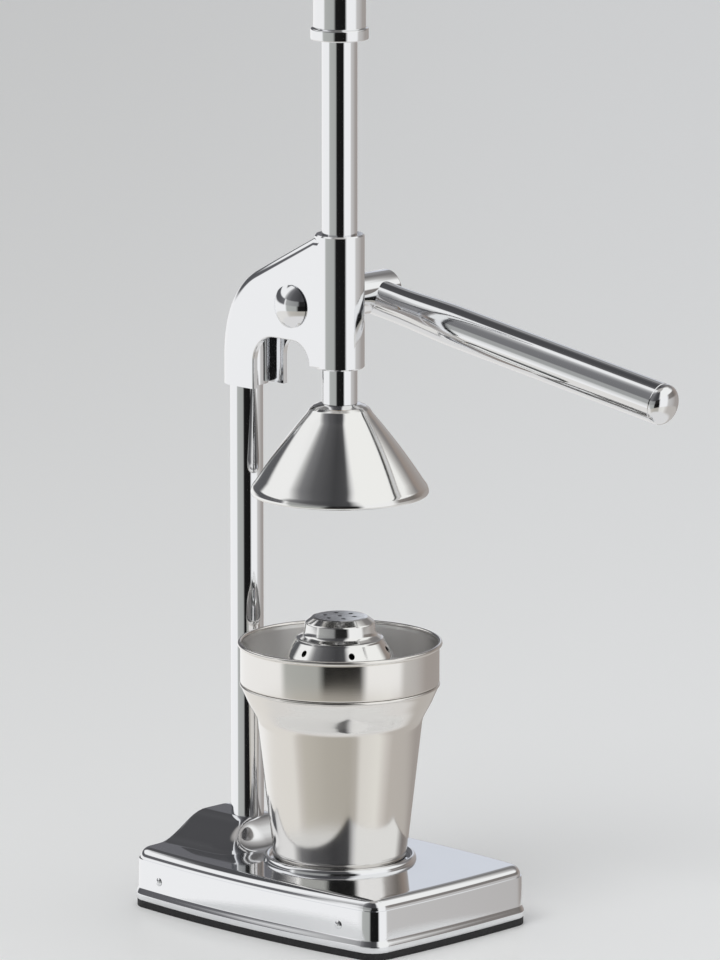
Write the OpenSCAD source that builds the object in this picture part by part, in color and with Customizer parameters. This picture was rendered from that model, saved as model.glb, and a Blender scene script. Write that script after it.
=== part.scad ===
// Lever citrus press: a rack and pinion lowers a steel cone onto a reamer that stands
// in a strainer bowl on a juice cup.
// Origin: on the press axis, at the surface the press stands on.
// +Z up, -Y the user's side, +X the lever's side.

/* [Base] */
// Width of the base across the middle of its bowed sides
base_w = 141.6; // [136:0.2:156]
// Reach of the base in front of the press axis
base_front = 92.4; // [88:0.2:110]
// Reach of the base behind the press axis
base_back = 109; // [106:0.5:125]
// How far the long sides bow outwards
side_bow = 5; // [1:0.5:8]
// How far the front and back bow outwards
end_bow = 1.5; // [0.5:0.25:4]
// Corner radius of the base
corner_r = 13; // [9:0.5:20]
// Height of the flat deck above the table
deck_z = 34.2; // [30:0.1:42]
// Wall of the base casting
base_wall = 2.6; // [2:0.1:3.2]
// Radius of the rounded edge round the deck
deck_edge_r = 5.4; // [4:0.1:7]
// Height of the line where the rounded edge meets the side
step_z = 28; // [24:0.5:29]
// Height of the hump round the column foot, above the deck
hump_h = 14.3; // [8:0.1:18]
// Half width of the hump at its foot
hump_half_w = 44; // [36:1:50]
// Thickness of the rubber pad
pad_t = 4; // [3:0.1:5]
// Thickness of the bottom plate
plate_t = 2; // [1.5:0.1:3]
// Outer radius of the raised ring that keeps the cup in place
seat_ring_r = 44.1; // [43.5:0.1:47]
// Height of the raised ring
seat_ring_h = 3.2; // [2:0.1:5]

/* [Column] */
// Distance from the press axis to the column axis
column_y = 74.5; // [74:0.5:80]
// Outer diameter of the column tube
column_d = 19; // [17:0.2:20]
// Wall of the column tube
column_wall = 1.6; // [1.2:0.1:2.4]
// Depth of the column in the socket of the head
socket_depth = 26; // [20:1:28]

/* [Head] */
// Width of the head across its side walls
head_w = 28; // [27:0.1:29]
// Wall of the head casting
head_wall = 3.4; // [2.6:0.1:3.8]
// Outer diameter of the guide sleeve
sleeve_d = 28.4; // [28:0.1:32]
// Length of the guide sleeve
sleeve_l = 77; // [76:0.5:90]
// Slope of the top of the head, in degrees
head_slope = 28; // [24:0.5:30]
// Radius of the back bend of the head
back_bend_r = 60; // [52:0.5:66]
// Radius of the rounded edges along the top
head_edge_r = 5; // [3:0.25:6]
// Height of the arch between leg and sleeve, above the sleeve's lower end
arch_rise = 14; // [11:0.5:16]

/* [Rack and pinion] */
// Gear module
gear_module = 2; // [1.9:0.05:2.05]
// Number of teeth on the pinion
pinion_teeth = 17; // [16:1:17]
// Width of the pinion and of the rack's teeth
gear_w = 9; // [7:0.5:10]
// Diameter of the pinion axle
axle_d = 14; // [12:0.5:15]
// Backlash between rack and pinion
backlash = 0.16; // [0.12:0.01:0.3]

/* [Press] */
// Diameter of the press shaft
shaft_d = 20.2; // [19:0.1:21]
// Free height between the bowl's rim and the cone's rim
throat = 85.7; // [70:0.1:100]
// Travel of the press down from where it stands
travel_down = 111; // [90:0.5:112]
// Travel of the press up from where it stands
travel_up = 20; // [12:0.5:24]
// Radius of the cone at its lip
cone_r = 50.8; // [46:0.1:52]
// Height of the cone
cone_h = 52.5; // [48:0.5:60]
// Wall of the cone
cone_wall = 1.3; // [1:0.1:2]
// Radius of the knob's collar
collar_r = 16.5; // [15:0.1:20]
// Radius of the knob
knob_r = 14.9; // [12:0.1:16]
// Height of the knob with its collar
knob_h = 52; // [40:1:70]

/* [Lever] */
// Diameter of the lever's hub
hub_d = 23.6; // [22:0.1:26]
// Length of the hub
hub_l = 50.5; // [50:0.5:60]
// Distance from the head's side to the lever's axis
lever_x = 38.5; // [36:0.5:42]
// Length of the lever from the axle
lever_l = 215; // [190:1:225]
// Diameter of the lever at the hub
lever_root_d = 20.8; // [18:0.1:21.4]
// Diameter of the lever's grip
lever_d = 23.6; // [22:0.1:26]
// Height by which the lever's axis passes under the axle
lever_low = 1.7; // [0:0.1:2.2]
// Angle of the lever below horizontal
lever_drop = 11.3; // [0:0.1:20]
// Angle by which the lever leans outwards
lever_splay = 7; // [7:0.5:10]
// Diameter of the domed cap on the axle
cap_d = 24.6; // [22:0.1:25]
// Height of the domed cap
cap_h = 6.4; // [5.5:0.1:8]

/* [Cup, bowl and reamer] */
// Radius of the cup's foot
cup_foot_r = 38.3; // [34:0.1:38.6]
// Radius of the cup below its shoulder
cup_top_r = 47.3; // [44:0.1:49]
// Height of the cup up to its rim
cup_h = 103.6; // [94:0.1:110]
// Wall of the cup
cup_wall = 1; // [0.8:0.1:1.5]
// Outer radius of the bowl's band
bowl_r = 57; // [56:0.1:60]
// Height of the bowl's band
bowl_h = 24.2; // [20:0.1:30]
// Wall of the bowl
bowl_wall = 1; // [0.8:0.1:1.5]
// How far the bowl's rolled rim stands out from its band
bowl_rim_out = 1.7; // [1.5:0.1:3]
// Depth of the bowl's floor below its band
bowl_drop = 7.6; // [6:0.1:9]
// Height of the reamer
reamer_h = 45; // [38:0.1:46]
// Radius of the reamer's flat top
reamer_top_r = 15.2; // [14:0.1:17]
// Radius of the reamer's foot
reamer_foot_r = 36; // [34:0.1:38]
// Wall of the reamer
reamer_wall = 1.2; // [1:0.1:1.6]
// Radius of the reamer's ledge
reamer_ledge_r = 25.5; // [23:0.1:27]
// Turn of the reamer's holes, in degrees
reamer_turn = 58; // [0:1:60]
// Number of drain holes round the reamer
reamer_holes = 6; // [4:1:8]

/* [Hidden] */
$fn = 64;

chrome = [0.80, 0.81, 0.82];
steel = [0.72, 0.72, 0.73];
satin = [0.74, 0.72, 0.69];
bronze = [0.72, 0.55, 0.30];
black = [0.10, 0.10, 0.11];

// Clearances
seat_gap = 0.1; // between loose pieces that rest on each other
run_gap = 0.05; // radial, between what turns or slides and its bush
fit_gap = 0.02; // radial, between pieces that are pushed together
side_gap = 0.3; // beside gears and between hub and bush

// Heights, from the table up
plate_z = pad_t;
skirt_z = pad_t;
boss_z = plate_z + plate_t;
cup_z = deck_z + seat_gap;
cup_rim_z = cup_z + cup_h;
bowl_z = cup_rim_z + seat_gap;
bowl_rim_z = bowl_z + bowl_h;
bowl_rim_r = bowl_r + bowl_rim_out;
bowl_floor_z = bowl_z - bowl_drop;
reamer_z = bowl_floor_z + bowl_wall + seat_gap;
cone_z = bowl_rim_z + throat;
cone_top_z = cone_z + cone_h;
stop_gap = 0.4;
sleeve_z = cone_top_z + travel_up + stop_gap;
sleeve_top_z = sleeve_z + sleeve_l;
collar_z = sleeve_top_z + travel_down + stop_gap;

// Gears: the rack's pitch line lies inside the back of the shaft
pitch = PI * gear_module;
pitch_r = gear_module * pinion_teeth / 2;
addendum = gear_module;
dedendum = 1.25 * gear_module;
pressure_angle = 20;
shaft_r = shaft_d / 2;
rack_y = shaft_r + run_gap - 1.95;
axle_y = rack_y + pitch_r;
axle_rise = 33.8;
axle_z = sleeve_z + axle_rise;
axle_r = axle_d / 2;
rack_slot_w = gear_w + 2 * side_gap;

// Head
head_half = head_w / 2;
column_r = column_d / 2;
sleeve_r = sleeve_d / 2;
leg_back_y = column_y + column_r + 2.5;
leg_front_y = column_y - column_r - 9.7;
leg_drop = 18;
leg_z = sleeve_z - leg_drop;
arch_z = sleeve_z + arch_rise;
socket_r = column_r + 3.1;
column_top_z = leg_z + socket_depth;
head_top_z = sleeve_top_z - 1.5;
crest_y = 8.6;
bush_wall = 1.6;
guide_bush_l = 13;
boss_inner_x = gear_w / 2 + 1;
window_half = pitch_r + addendum + 1.2;
boss_r = axle_r + 5.4;

// Column foot
column_seat_z = boss_z + 11;
bolt_r = 4;
bolt_head_h = 5.2;
washer_t = 1.6;
plug_l = 18;

// Lever
hub_x = head_half + side_gap + 0.8;
hub_r = hub_d / 2;
lever_axis_x = head_half + lever_x;
lever_dir = [sin(lever_splay) * cos(lever_drop), -cos(lever_splay) * cos(lever_drop), -sin(lever_drop)];
grip_start = 62;
plug_h = 9;
handle_wall = 2;

// ---- helpers ----

function unit(v) = v / norm(v);
function smooth(t) = let (u = min(1, max(0, t))) u * u * (3 - 2 * u);
function flatten(lists) = [for (l = lists) each l];

// Faces of a skin through closed rings of n points each, with its two ends closed
function skin_faces(count, n) = concat(
  [[for (i = [0:n - 1]) i]],
  [for (k = [0:count - 2]) for (i = [0:n - 1]) let (j = (i + 1) % n)
    each [[k * n + i, (k + 1) * n + i, (k + 1) * n + j], [k * n + i, (k + 1) * n + j, k * n + j]]],
  [[for (i = [n - 1:-1:0]) (count - 1) * n + i]]);

module skin(rings) {
  polyhedron(flatten(rings), skin_faces(len(rings), len(rings[0])), convexity = 8);
}

// A profile in the (y, z) plane, drawn out along X from x0 to x1
module along_x(x0, x1) {
  translate([x0, 0, 0]) rotate([90, 0, 90]) linear_extrude(x1 - x0, convexity = 8) children();
}

// A cylinder along X, on the line through (y, z)
module rod_x(x0, x1, r, y = 0, z = 0) {
  translate([x0, y, z]) rotate([0, 90, 0]) cylinder(h = x1 - x0, r = r);
}

module tube(r_out, r_in, h) {
  difference() {
    cylinder(h = h, r = r_out);
    translate([0, 0, -1]) cylinder(h = h + 2, r = r_in);
  }
}

// Turns its children from +Z into the lever's direction, starting on the axle
module on_lever() {
  translate([lever_axis_x, axle_y, axle_z - lever_low])
    rotate([0, 0, lever_splay]) rotate([90 + lever_drop, 0, 0]) children();
}

// A shell turned from an outer profile: the same line, moved inwards by the wall
function inset_profile(p, t) = [for (i = [0:len(p) - 1])
  let (a = p[max(0, i - 1)], b = p[min(len(p) - 1, i + 1)], d = unit(b - a)) p[i] + t * [-d.y, d.x]];
module turned_shell(p, t) {
  rotate_extrude(convexity = 6) polygon(concat(p,
    [for (q = [for (i = [len(p) - 1:-1:0]) inset_profile(p, t)[i]])
    [max(0, q.x), q.y]]));
}

// ---- base ----

base_mid_y = (base_back - base_front) / 2;
base_half_l = (base_back + base_front) / 2;
base_half_w = base_w / 2;
side_lean = atan(2 * side_bow / (base_half_l - corner_r));
end_lean = atan(2 * end_bow / (base_half_w - corner_r));
corner_x = base_half_w - side_bow - corner_r * cos(side_lean);
corner_y = base_half_l - end_bow - corner_r * cos(end_lean);
corner_steps = 6;
side_steps = 6;
end_steps = 6;

// One quarter of the outline, from the middle of the right side to the middle of the back, moved inwards by d
function quarter(d) = let (
    r = corner_r - d,
    side_y = corner_y + r * sin(side_lean), side_x = corner_x + r * cos(side_lean),
    end_x = corner_x + r * sin(end_lean), end_y = corner_y + r * cos(end_lean))
  concat(
    [for (k = [0:side_steps - 1]) let (s = k / side_steps) [side_x + side_bow * (1 - s * s), side_y * s]],
    [for (k = [0:corner_steps]) let (a = side_lean + (90 - end_lean - side_lean) * k / corner_steps)
      [corner_x + r * cos(a), corner_y + r * sin(a)]],
    [for (k = [1:end_steps - 1]) let (s = 1 - k / end_steps) [end_x * s, end_y + end_bow * (1 - s * s)]]);

function reversed(l) = [for (i = [len(l) - 1:-1:0]) l[i]];
function base_outline(d) = let (
    q = quarter(d),
    top = [0, base_half_l - d],
    right = q,
    left_back = [for (p = reversed([for (i = [1:len(q) - 1]) q[i]])) [-p.x, p.y]],
    left_mid = [[-q[0].x, 0]],
    left_front = [for (i = [1:len(q) - 1]) [-q[i].x, -q[i].y]],
    right_front = [for (p = reversed([for (i = [1:len(q) - 1]) q[i]])) [p.x, -p.y]])
  [for (p = concat(right, [top], left_back, left_mid, left_front, [[0, -base_half_l + d]], right_front))
    p + [0, base_mid_y]];

// Height of the hump over a point of the deck
hump_flat = 8;
hump_front_y = seat_ring_r;
hump_ramp = 24;
hump_crest_y = hump_front_y + hump_ramp;
function hump(p) = hump_h * smooth((hump_half_w - abs(p.x)) / (hump_half_w - hump_flat))
  * smooth((p.y - hump_front_y) / (hump_crest_y - hump_front_y));

function base_ring(d, z, lift) = [for (p = base_outline(d)) [p.x, p.y, z + lift * hump(p)]];
function deck_ring(d, z, s) = [for (p = base_outline(d)) let (q = [p.x * s, column_y + (p.y - column_y) * s])
  [q.x, q.y, z + hump(q)]];
deck_shares = [0.88, 0.76, 0.65, 0.55, 0.46, 0.37, 0.29, 0.21, 0.14, 0.07];
side_inset = 1.7;
edge_inset = side_inset + 0.8;

function edge_rings(d, z0, z1, r, steps) = [for (k = [0:steps]) let (a = 90 * k / steps)
  base_ring(d + r * (1 - cos(a)), z0 + (z1 - z0) * sin(a), sin(a))];

// Outside of the base, filled: bottom edge, rolled lip, side, step line, rounded edge and deck
module base_solid() {
  skin(concat(
    [base_ring(0.8, skirt_z, 0), base_ring(0, skirt_z + 1.4, 0), base_ring(0, skirt_z + 3.8, 0),
      base_ring(0.6, skirt_z + 5.2, 0), base_ring(side_inset - 0.3, skirt_z + 7, 0),
      base_ring(side_inset, step_z, 0)],
    edge_rings(edge_inset, step_z + 0.2, deck_z, deck_edge_r, 4),
    [for (s = deck_shares) deck_ring(edge_inset + deck_edge_r, deck_z, s)]));
}

// Hollow of the base, open below
module base_hollow() {
  inner = side_inset + base_wall;
  skin(concat(
    [base_ring(inner, skirt_z - 1, 0), base_ring(inner, step_z - base_wall, 0)],
    edge_rings(edge_inset + base_wall, step_z - base_wall + 0.2, deck_z - base_wall, deck_edge_r, 2),
    [for (s = deck_shares) deck_ring(edge_inset + base_wall + deck_edge_r, deck_z - base_wall, s)]));
}

screw_boss_r = 5;
screw_r = 2;
screw_grip = 10;
screw_at = [for (sx = [-1, 1]) for (p = [
    [corner_x - 6, base_mid_y - corner_y + 6], [corner_x - 2, base_mid_y],
  [corner_x - 6, base_mid_y + corner_y - 6]]) [sx * p.x, p.y]];
column_boss_r = column_r + 5;

rivet_z = 17.6;
rivet_head_r = 2.4;
rivet_shank_r = 1.5;
rivet_from_back = 27.7;
rivet_from_front = 29.7;
rivet_at = [base_back - rivet_from_back, -base_front + rivet_from_front];
// Share of the way from the middle of the side to its corner
function side_share(y) = (y - base_mid_y) / (corner_y + (corner_r - side_inset) * sin(side_lean));
// Half width of the base's side face at the height of the rivets, over y
function side_face_x(y) = corner_x + (corner_r - side_inset + 0.2) * cos(side_lean)
  + side_bow * (1 - pow(side_share(y), 2));
// Puts its children on the side face, square to it
module on_side(y, sx) {
  turn = atan(2 * side_bow * side_share(y) / (corner_y + corner_r * sin(side_lean)));
  translate([sx * side_face_x(y), y, rivet_z]) rotate([0, 0, sx * turn]) rotate([0, 90 * sx, 0]) children();
}

module base_casting() {
  color(chrome) difference() {
    union() {
      difference() {
        base_solid();
        difference() {
          base_hollow();
          translate([0, column_y, boss_z]) cylinder(h = deck_z + hump_h, r = column_boss_r);
          for (p = screw_at) translate([p.x, p.y, boss_z]) cylinder(h = deck_z, r = screw_boss_r);
        }
      }
      seat_ring();
    }
    translate([0, column_y, column_seat_z]) cylinder(h = deck_z + hump_h, r = column_r + fit_gap);
    translate([0, column_y, 0]) cylinder(h = column_seat_z + 1, r = bolt_r + 0.3);
    translate([0, column_y, 0]) cylinder(h = boss_z + bolt_head_h + washer_t + 0.2, r = column_r + 0.5);
    for (p = screw_at) translate([p.x, p.y, 0]) cylinder(h = boss_z + screw_grip + 2, r = screw_r + fit_gap);
    for (y = rivet_at) for (sx = [-1, 1]) on_side(y, sx)
      translate([0, 0, -2 * base_wall - 1]) cylinder(h = 2 * base_wall + 4, r = rivet_shank_r + fit_gap);
  }
}

// Raised ring with a rounded top, round the cup's foot
module seat_ring() {
  ring_w = 4.8;
  steps = 6;
  rotate_extrude(convexity = 4) polygon(concat(
    [[seat_ring_r - ring_w, deck_z - 1], [seat_ring_r, deck_z - 1]],
    [for (k = [0:steps]) let (a = 180 * k / steps)
      [seat_ring_r - ring_w / 2 + ring_w / 2 * cos(a), deck_z + seat_ring_h * sin(a)]]));
}

module rubber_pad() {
  edge = 0.6;
  color(black) difference() {
    translate([0, 0, 0]) linear_extrude(pad_t) polygon(base_outline(edge));
    for (p = screw_at) translate([p.x, p.y, pad_t - 0.8]) cylinder(h = 2, r = 2 * screw_r + 1);
  }
}

module bottom_plate() {
  color(steel) translate([0, 0, plate_z]) difference() {
    linear_extrude(plate_t) polygon(base_outline(side_inset + base_wall + 0.15));
    for (p = screw_at) translate([p.x, p.y, -0.01]) {
      cylinder(h = plate_t + 1, r = screw_r + fit_gap);
      cylinder(h = screw_r, r1 = 2 * screw_r, r2 = screw_r);
    }
  }
}

// Countersunk screws, heads flush with the plate's lower face
module plate_screws() {
  color(steel) for (p = screw_at) translate([p.x, p.y, plate_z]) {
    cylinder(h = screw_r - 0.05, r1 = 2 * screw_r - 0.05, r2 = screw_r);
    cylinder(h = plate_t + screw_grip, r = screw_r);
  }
}

module side_rivets() {
  dome = 2.2;
  color(chrome) for (y = rivet_at) for (sx = [-1, 1]) on_side(y, sx) {
    translate([0, 0, -base_wall - 1.5]) cylinder(h = base_wall + 2, r = rivet_shank_r);
    translate([0, 0, 0.12]) intersection() {
      translate([0, 0, -dome]) sphere(r = norm([rivet_head_r, dome]));
      cylinder(h = 3, r = rivet_head_r);
    }
  }
}

// ---- column ----

module column_tube() {
  color(chrome) translate([0, column_y, column_seat_z]) difference() {
    cylinder(h = column_top_z - column_seat_z, r = column_r);
    translate([0, 0, -1]) cylinder(h = column_top_z, r = column_r - column_wall);
  }
}

// Threaded plug in the foot of the column
module column_plug() {
  color(steel) translate([0, column_y, column_seat_z])
    tube(column_r - column_wall - fit_gap, bolt_r + fit_gap, plug_l);
}

module column_washer() {
  color(steel) translate([0, column_y, boss_z + bolt_head_h + 0.1])
    tube(column_r - 0.6, bolt_r + 0.2, washer_t);
}

module column_bolt() {
  color(steel) translate([0, column_y, boss_z + 0.1]) {
    cylinder(h = bolt_head_h, r = 7.2, $fn = 6);
    cylinder(h = column_seat_z - boss_z + plug_l - 3, r = bolt_r);
  }
}

// ---- head ----

slope_t = tan(head_slope);
function top_line(y) = head_top_z - slope_t * (y - crest_y);
bend_y = leg_back_y - back_bend_r;
bend_z = top_line(bend_y + back_bend_r * sin(head_slope)) - back_bend_r * cos(head_slope);
leg_edge_r = head_half - 0.3;
arch_back_r = 16;
head_low_z = sleeve_z + 0.8;
arch_front_r = arch_z - head_low_z;
arch_front_y = sleeve_r - 3.2;
bend_steps = 10;
arch_steps = 6;
small_r = 0.9;

// Outline of the head seen from the side: [y, z, outward y, outward z, radius of the rounded edge]
head_outline = concat(
  [[arch_front_y, head_low_z, 0.7, -0.7, small_r], [0, head_low_z, 0, -1, small_r],
    [0, head_top_z, -1, 0, small_r],
    [crest_y * 0.5, head_top_z, 0, 1, head_edge_r],
    [crest_y, head_top_z, sin(head_slope / 2), cos(head_slope / 2), head_edge_r]],
  [for (k = [0:bend_steps]) let (a = 90 - head_slope - (90 - head_slope) * k / bend_steps, t = k / bend_steps)
    [bend_y + back_bend_r * cos(a), bend_z + back_bend_r * sin(a), cos(a), sin(a),
      head_edge_r + (leg_edge_r - head_edge_r) * smooth(t)]],
  [[leg_back_y, leg_z, 1, 0, leg_edge_r], [leg_front_y, leg_z, -1, 0, small_r]],
  [for (k = [0:arch_steps]) let (a = 90 * k / arch_steps)
    [leg_front_y - arch_back_r + arch_back_r * cos(a), arch_z - arch_back_r + arch_back_r * sin(a),
      -cos(a), -sin(a), small_r]],
  [for (k = [0:arch_steps - 1]) let (a = 90 + 90 * k / arch_steps)
    [arch_front_y + arch_front_r + arch_front_r * cos(a), arch_z - arch_front_r + arch_front_r * sin(a),
      -cos(a), -sin(a), small_r]]);

// One ring of the head's skin: side is -1 or 1, and a runs from 0 on the flat side to 90
// where the edge is fully round
function head_ring(side, a) = [for (p = head_outline) let (back = p[4] * (1 - sin(a)))
  [side * (head_half - p[4] * (1 - cos(a))), p[0] - back * p[2], p[1] - back * p[3]]];

module head_solid() {
  steps = [0, 22.5, 45, 67.5, 90];
  skin(concat([for (a = steps) head_ring(1, a)], [for (a = reversed(steps)) head_ring(-1, a)]));
}

// Hollow between the side walls, open below and in front of the leg
module head_hollow() {
  r = back_bend_r - head_wall;
  along_x(-(head_half - head_wall), head_half - head_wall) polygon(concat(
    [[shaft_r, leg_z - 1], [shaft_r, top_line(shaft_r) - head_wall / cos(head_slope)]],
    [for (k = [0:bend_steps]) let (a = 90 - head_slope - (90 - head_slope) * k / bend_steps)
      [bend_y + r * cos(a), bend_z + r * sin(a)]],
    [[leg_back_y - head_wall, leg_z - 1]]));
}

module head_casting() {
  color(chrome) difference() {
    union() {
      difference() {
        head_solid();
        head_hollow();
      }
      intersection() {
        head_solid();
        union() {
          translate([0, column_y, leg_z]) cylinder(h = socket_depth + 4, r = socket_r);
          translate([-head_half, column_y, leg_z]) cube([head_w, column_r + 6, socket_depth + 4]);
        }
      }
      translate([0, 0, sleeve_z]) cylinder(h = sleeve_l, r = sleeve_r);
      rod_x(-head_half + 0.5, -boss_inner_x, boss_r, axle_y, axle_z);
      rod_x(boss_inner_x, head_half - 0.5, boss_r, axle_y, axle_z);
    }
    // socket of the column
    translate([0, column_y, leg_z - 1]) cylinder(h = socket_depth + 1, r = column_r + fit_gap);
    // bore of the sleeve, with a seat for a bush at each end
    translate([0, 0, sleeve_z - 1]) cylinder(h = sleeve_l + 2, r = shaft_r + 0.4);
    translate([0, 0, sleeve_z - 1]) cylinder(h = guide_bush_l + 1, r = shaft_r + bush_wall + fit_gap);
    translate([0, 0, sleeve_top_z - guide_bush_l])
      cylinder(h = guide_bush_l + 1, r = shaft_r + bush_wall + fit_gap);
    // window where the pinion reaches the rack
    translate([-rack_slot_w / 2, 0, axle_z - window_half]) cube([rack_slot_w, sleeve_r + 2, 2 * window_half]);
    // bores of the axle's bushes
    rod_x(-head_half - 1, head_half + 1, axle_r + bush_wall + fit_gap, axle_y, axle_z);
    rod_x(-head_half - 1, -head_half + washer_seat, axle_r + 4.3, axle_y, axle_z);
    // holes of the column's set screws
    for (z = set_screw_z) rod_x(0, head_half + 1, set_screw_r + fit_gap, column_y, z);
  }
}

set_screw_r = 3;
set_screw_z = [leg_z + 0.28 * socket_depth, leg_z + 0.76 * socket_depth];
module column_set_screws() {
  color(steel) for (z = set_screw_z) difference() {
    rod_x(column_r + 0.05, head_half - 0.2, set_screw_r, column_y, z);
    translate([head_half - 2.6, column_y, z]) rotate([0, 90, 0]) cylinder(h = 4, r = 1.7, $fn = 6);
  }
}

module guide_bush() {
  tube(shaft_r + bush_wall, shaft_r + run_gap, guide_bush_l - 0.3);
}
module guide_bush_upper() { color(bronze) translate([0, 0, sleeve_top_z - guide_bush_l]) guide_bush(); }
module guide_bush_lower() { color(bronze) translate([0, 0, sleeve_z + 0.3]) guide_bush(); }

module axle_bush(side) {
  x0 = boss_inner_x;
  x1 = head_half - (side < 0 ? washer_seat + 0.1 : 0.2);
  color(bronze) difference() {
    rod_x(side > 0 ? x0 : -x1, side > 0 ? x1 : -x0, axle_r + bush_wall, axle_y, axle_z);
    rod_x(-head_w, head_w, axle_r + run_gap, axle_y, axle_z);
  }
}
module axle_bush_near() { axle_bush(-1); }
module axle_bush_far() { axle_bush(1); }

// ---- press ----

spigot_r = 5;
spigot_l = 9.6;
knob_socket = 22;
rack_first = -5;
rack_last = ceil((travel_down + 10) / pitch);

// One space between two teeth of the rack, across the shaft's back
module rack_space(z) {
  half = pitch / 4 + backlash / 2;
  low = half - dedendum * tan(pressure_angle);
  high = half + 1.6 * addendum * tan(pressure_angle);
  along_x(-rack_slot_w / 2, rack_slot_w / 2) polygon([
    [rack_y - dedendum, z - low], [rack_y + 1.6 * addendum, z - high],
    [rack_y + 1.6 * addendum, z + high], [rack_y - dedendum, z + low]]);
}

module rack_shaft() {
  color(chrome) difference() {
    union() {
      translate([0, 0, cone_top_z + seat_gap])
        cylinder(h = collar_z + knob_socket - cone_top_z - seat_gap - 0.2, r = shaft_r);
      translate([0, 0, cone_top_z - spigot_l]) cylinder(h = spigot_l + 1, r = spigot_r);
    }
    for (k = [rack_first:rack_last]) rack_space(axle_z + k * pitch);
  }
}

module top_knob() {
  collar_h = 7;
  round_r = 7;
  steps = 6;
  color(chrome) translate([0, 0, collar_z]) difference() {
    rotate_extrude() polygon(concat(
      [[0, 0], [collar_r - 0.8, 0], [collar_r, 0.8], [collar_r, collar_h - 1.4],
        [collar_r - 0.6, collar_h - 0.5],
        [knob_r, collar_h]],
      [for (k = [0:steps]) let (a = 90 * k / steps)
        [knob_r - round_r + round_r * cos(a), knob_h - round_r + round_r * sin(a)]],
      [[0, knob_h]]));
    translate([0, 0, -1]) cylinder(h = knob_socket + 1, r = shaft_r + fit_gap);
    rod_x(0, collar_r + 1, knob_screw_r + fit_gap, 0, collar_h / 2);
  }
}

knob_screw_r = 2;
module knob_set_screw() {
  color(steel) difference() {
    rod_x(shaft_r + 0.05, collar_r - 0.2, knob_screw_r, 0, collar_z + 3.5);
    translate([collar_r - 1.8, 0, collar_z + 3.5]) rotate([0, 90, 0]) cylinder(h = 3, r = 1.1, $fn = 6);
  }
}

// Outer line of the cone from its lip to its crown: [radius, height above the lip]; the side bulges a little
cone_foot = [cone_r - 1.9, 4.4];
cone_neck = [19.7, cone_h - 6];
cone_bulge = 0.8;
cone_steps = 4;
function cone_line() = concat(
  [[cone_r - 0.5, 0], [cone_r, 0.6], [cone_r - 0.5, 1.6]],
  [for (k = [0:cone_steps])
    let (t = k / cone_steps, out = unit([cone_neck.y - cone_foot.y, cone_foot.x - cone_neck.x]))
    cone_foot + (cone_neck - cone_foot) * t + out * cone_bulge * 4 * t * (1 - t)],
  [[18, cone_h - 3.2], [16, cone_h - 1.6], [12.6, cone_h - 0.3], [10, cone_h]]);

module press_cone() {
  color(steel) translate([0, 0, cone_z]) difference() {
    turned_shell(concat(cone_line(), [[0, cone_h]]), cone_wall);
    translate([0, 0, cone_h - 5]) cylinder(h = 10, r = spigot_r + fit_gap);
  }
}

module cone_washer() {
  color(steel) translate([0, 0, cone_top_z - cone_wall - 0.05 - 1.5]) tube(9.4, spigot_r + fit_gap, 1.5);
}

module cone_nut() {
  nut_h = 5.5;
  color(steel) translate([0, 0, cone_top_z - cone_wall - 0.1 - 1.5 - nut_h]) difference() {
    cylinder(h = nut_h, r = 8.6, $fn = 6);
    translate([0, 0, -1]) cylinder(h = nut_h + 2, r = spigot_r + fit_gap);
  }
}

// ---- lever ----

pin_r = 1.5;
axle_short = 12; // from the axle's end to the hub's far end
hub_screw_in = 12; // from the hub's near end to its set screw
axle_end_x = hub_x + hub_l - axle_short;
cap_x = head_half + 0.3;
cap_rim = 0.8;
washer_seat = 1.4;

module pinion_axle() {
  color(steel) difference() {
    rod_x(-cap_x - cap_h + 3, axle_end_x, axle_r, axle_y, axle_z);
    translate([0, axle_y, axle_z - 2 * pitch_r]) cylinder(h = 4 * pitch_r, r = pin_r + fit_gap);
    translate([hub_x + hub_screw_in, axle_y, axle_z - axle_r - 1]) cylinder(h = 2.2, r = set_screw_r + 0.2);
  }
}

base_circle_r = pitch_r * cos(pressure_angle);
function involute(r) = let (a = acos(min(1, base_circle_r / r))) tan(a) - a * PI / 180;
// Half the angle of a tooth at radius r
function tooth_half(r) = 90 / pinion_teeth - backlash / 4 / pitch_r * 180 / PI
  + (involute(pitch_r) - involute(r)) * 180 / PI;
tip_r = pitch_r + addendum;
root_r = pitch_r - dedendum;
flank_steps = 5;
function flank(side, tooth) = [for (k = [0:flank_steps]) let (
    r = base_circle_r + (tip_r - base_circle_r) * (side < 0 ? k : flank_steps - k) / flank_steps,
    a = 180 + 360 * tooth / pinion_teeth + side * tooth_half(r))
  [r * cos(a), r * sin(a)]];

module pinion_gear() {
  foot = tooth_half(base_circle_r);
  outline = [for (t = [0:pinion_teeth - 1]) let (c = 180 + 360 * t / pinion_teeth) each concat(
    [[root_r * cos(c - foot), root_r * sin(c - foot)]], flank(-1, t), flank(1, t),
    [[root_r * cos(c + foot), root_r * sin(c + foot)]])];
  color(steel) difference() {
    union() {
      translate([0, axle_y, axle_z]) along_x(-gear_w / 2, gear_w / 2) polygon(outline);
    }
    rod_x(-gear_w, gear_w, axle_r + fit_gap, axle_y, axle_z);
    translate([0, axle_y, axle_z - 2 * pitch_r]) cylinder(h = 4 * pitch_r, r = pin_r + fit_gap);
  }
}

// Pin through the pinion and its axle
module pinion_pin() {
  color(steel) translate([0, axle_y, axle_z - root_r + 0.4]) cylinder(h = 2 * root_r - 0.8, r = pin_r);
}

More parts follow.
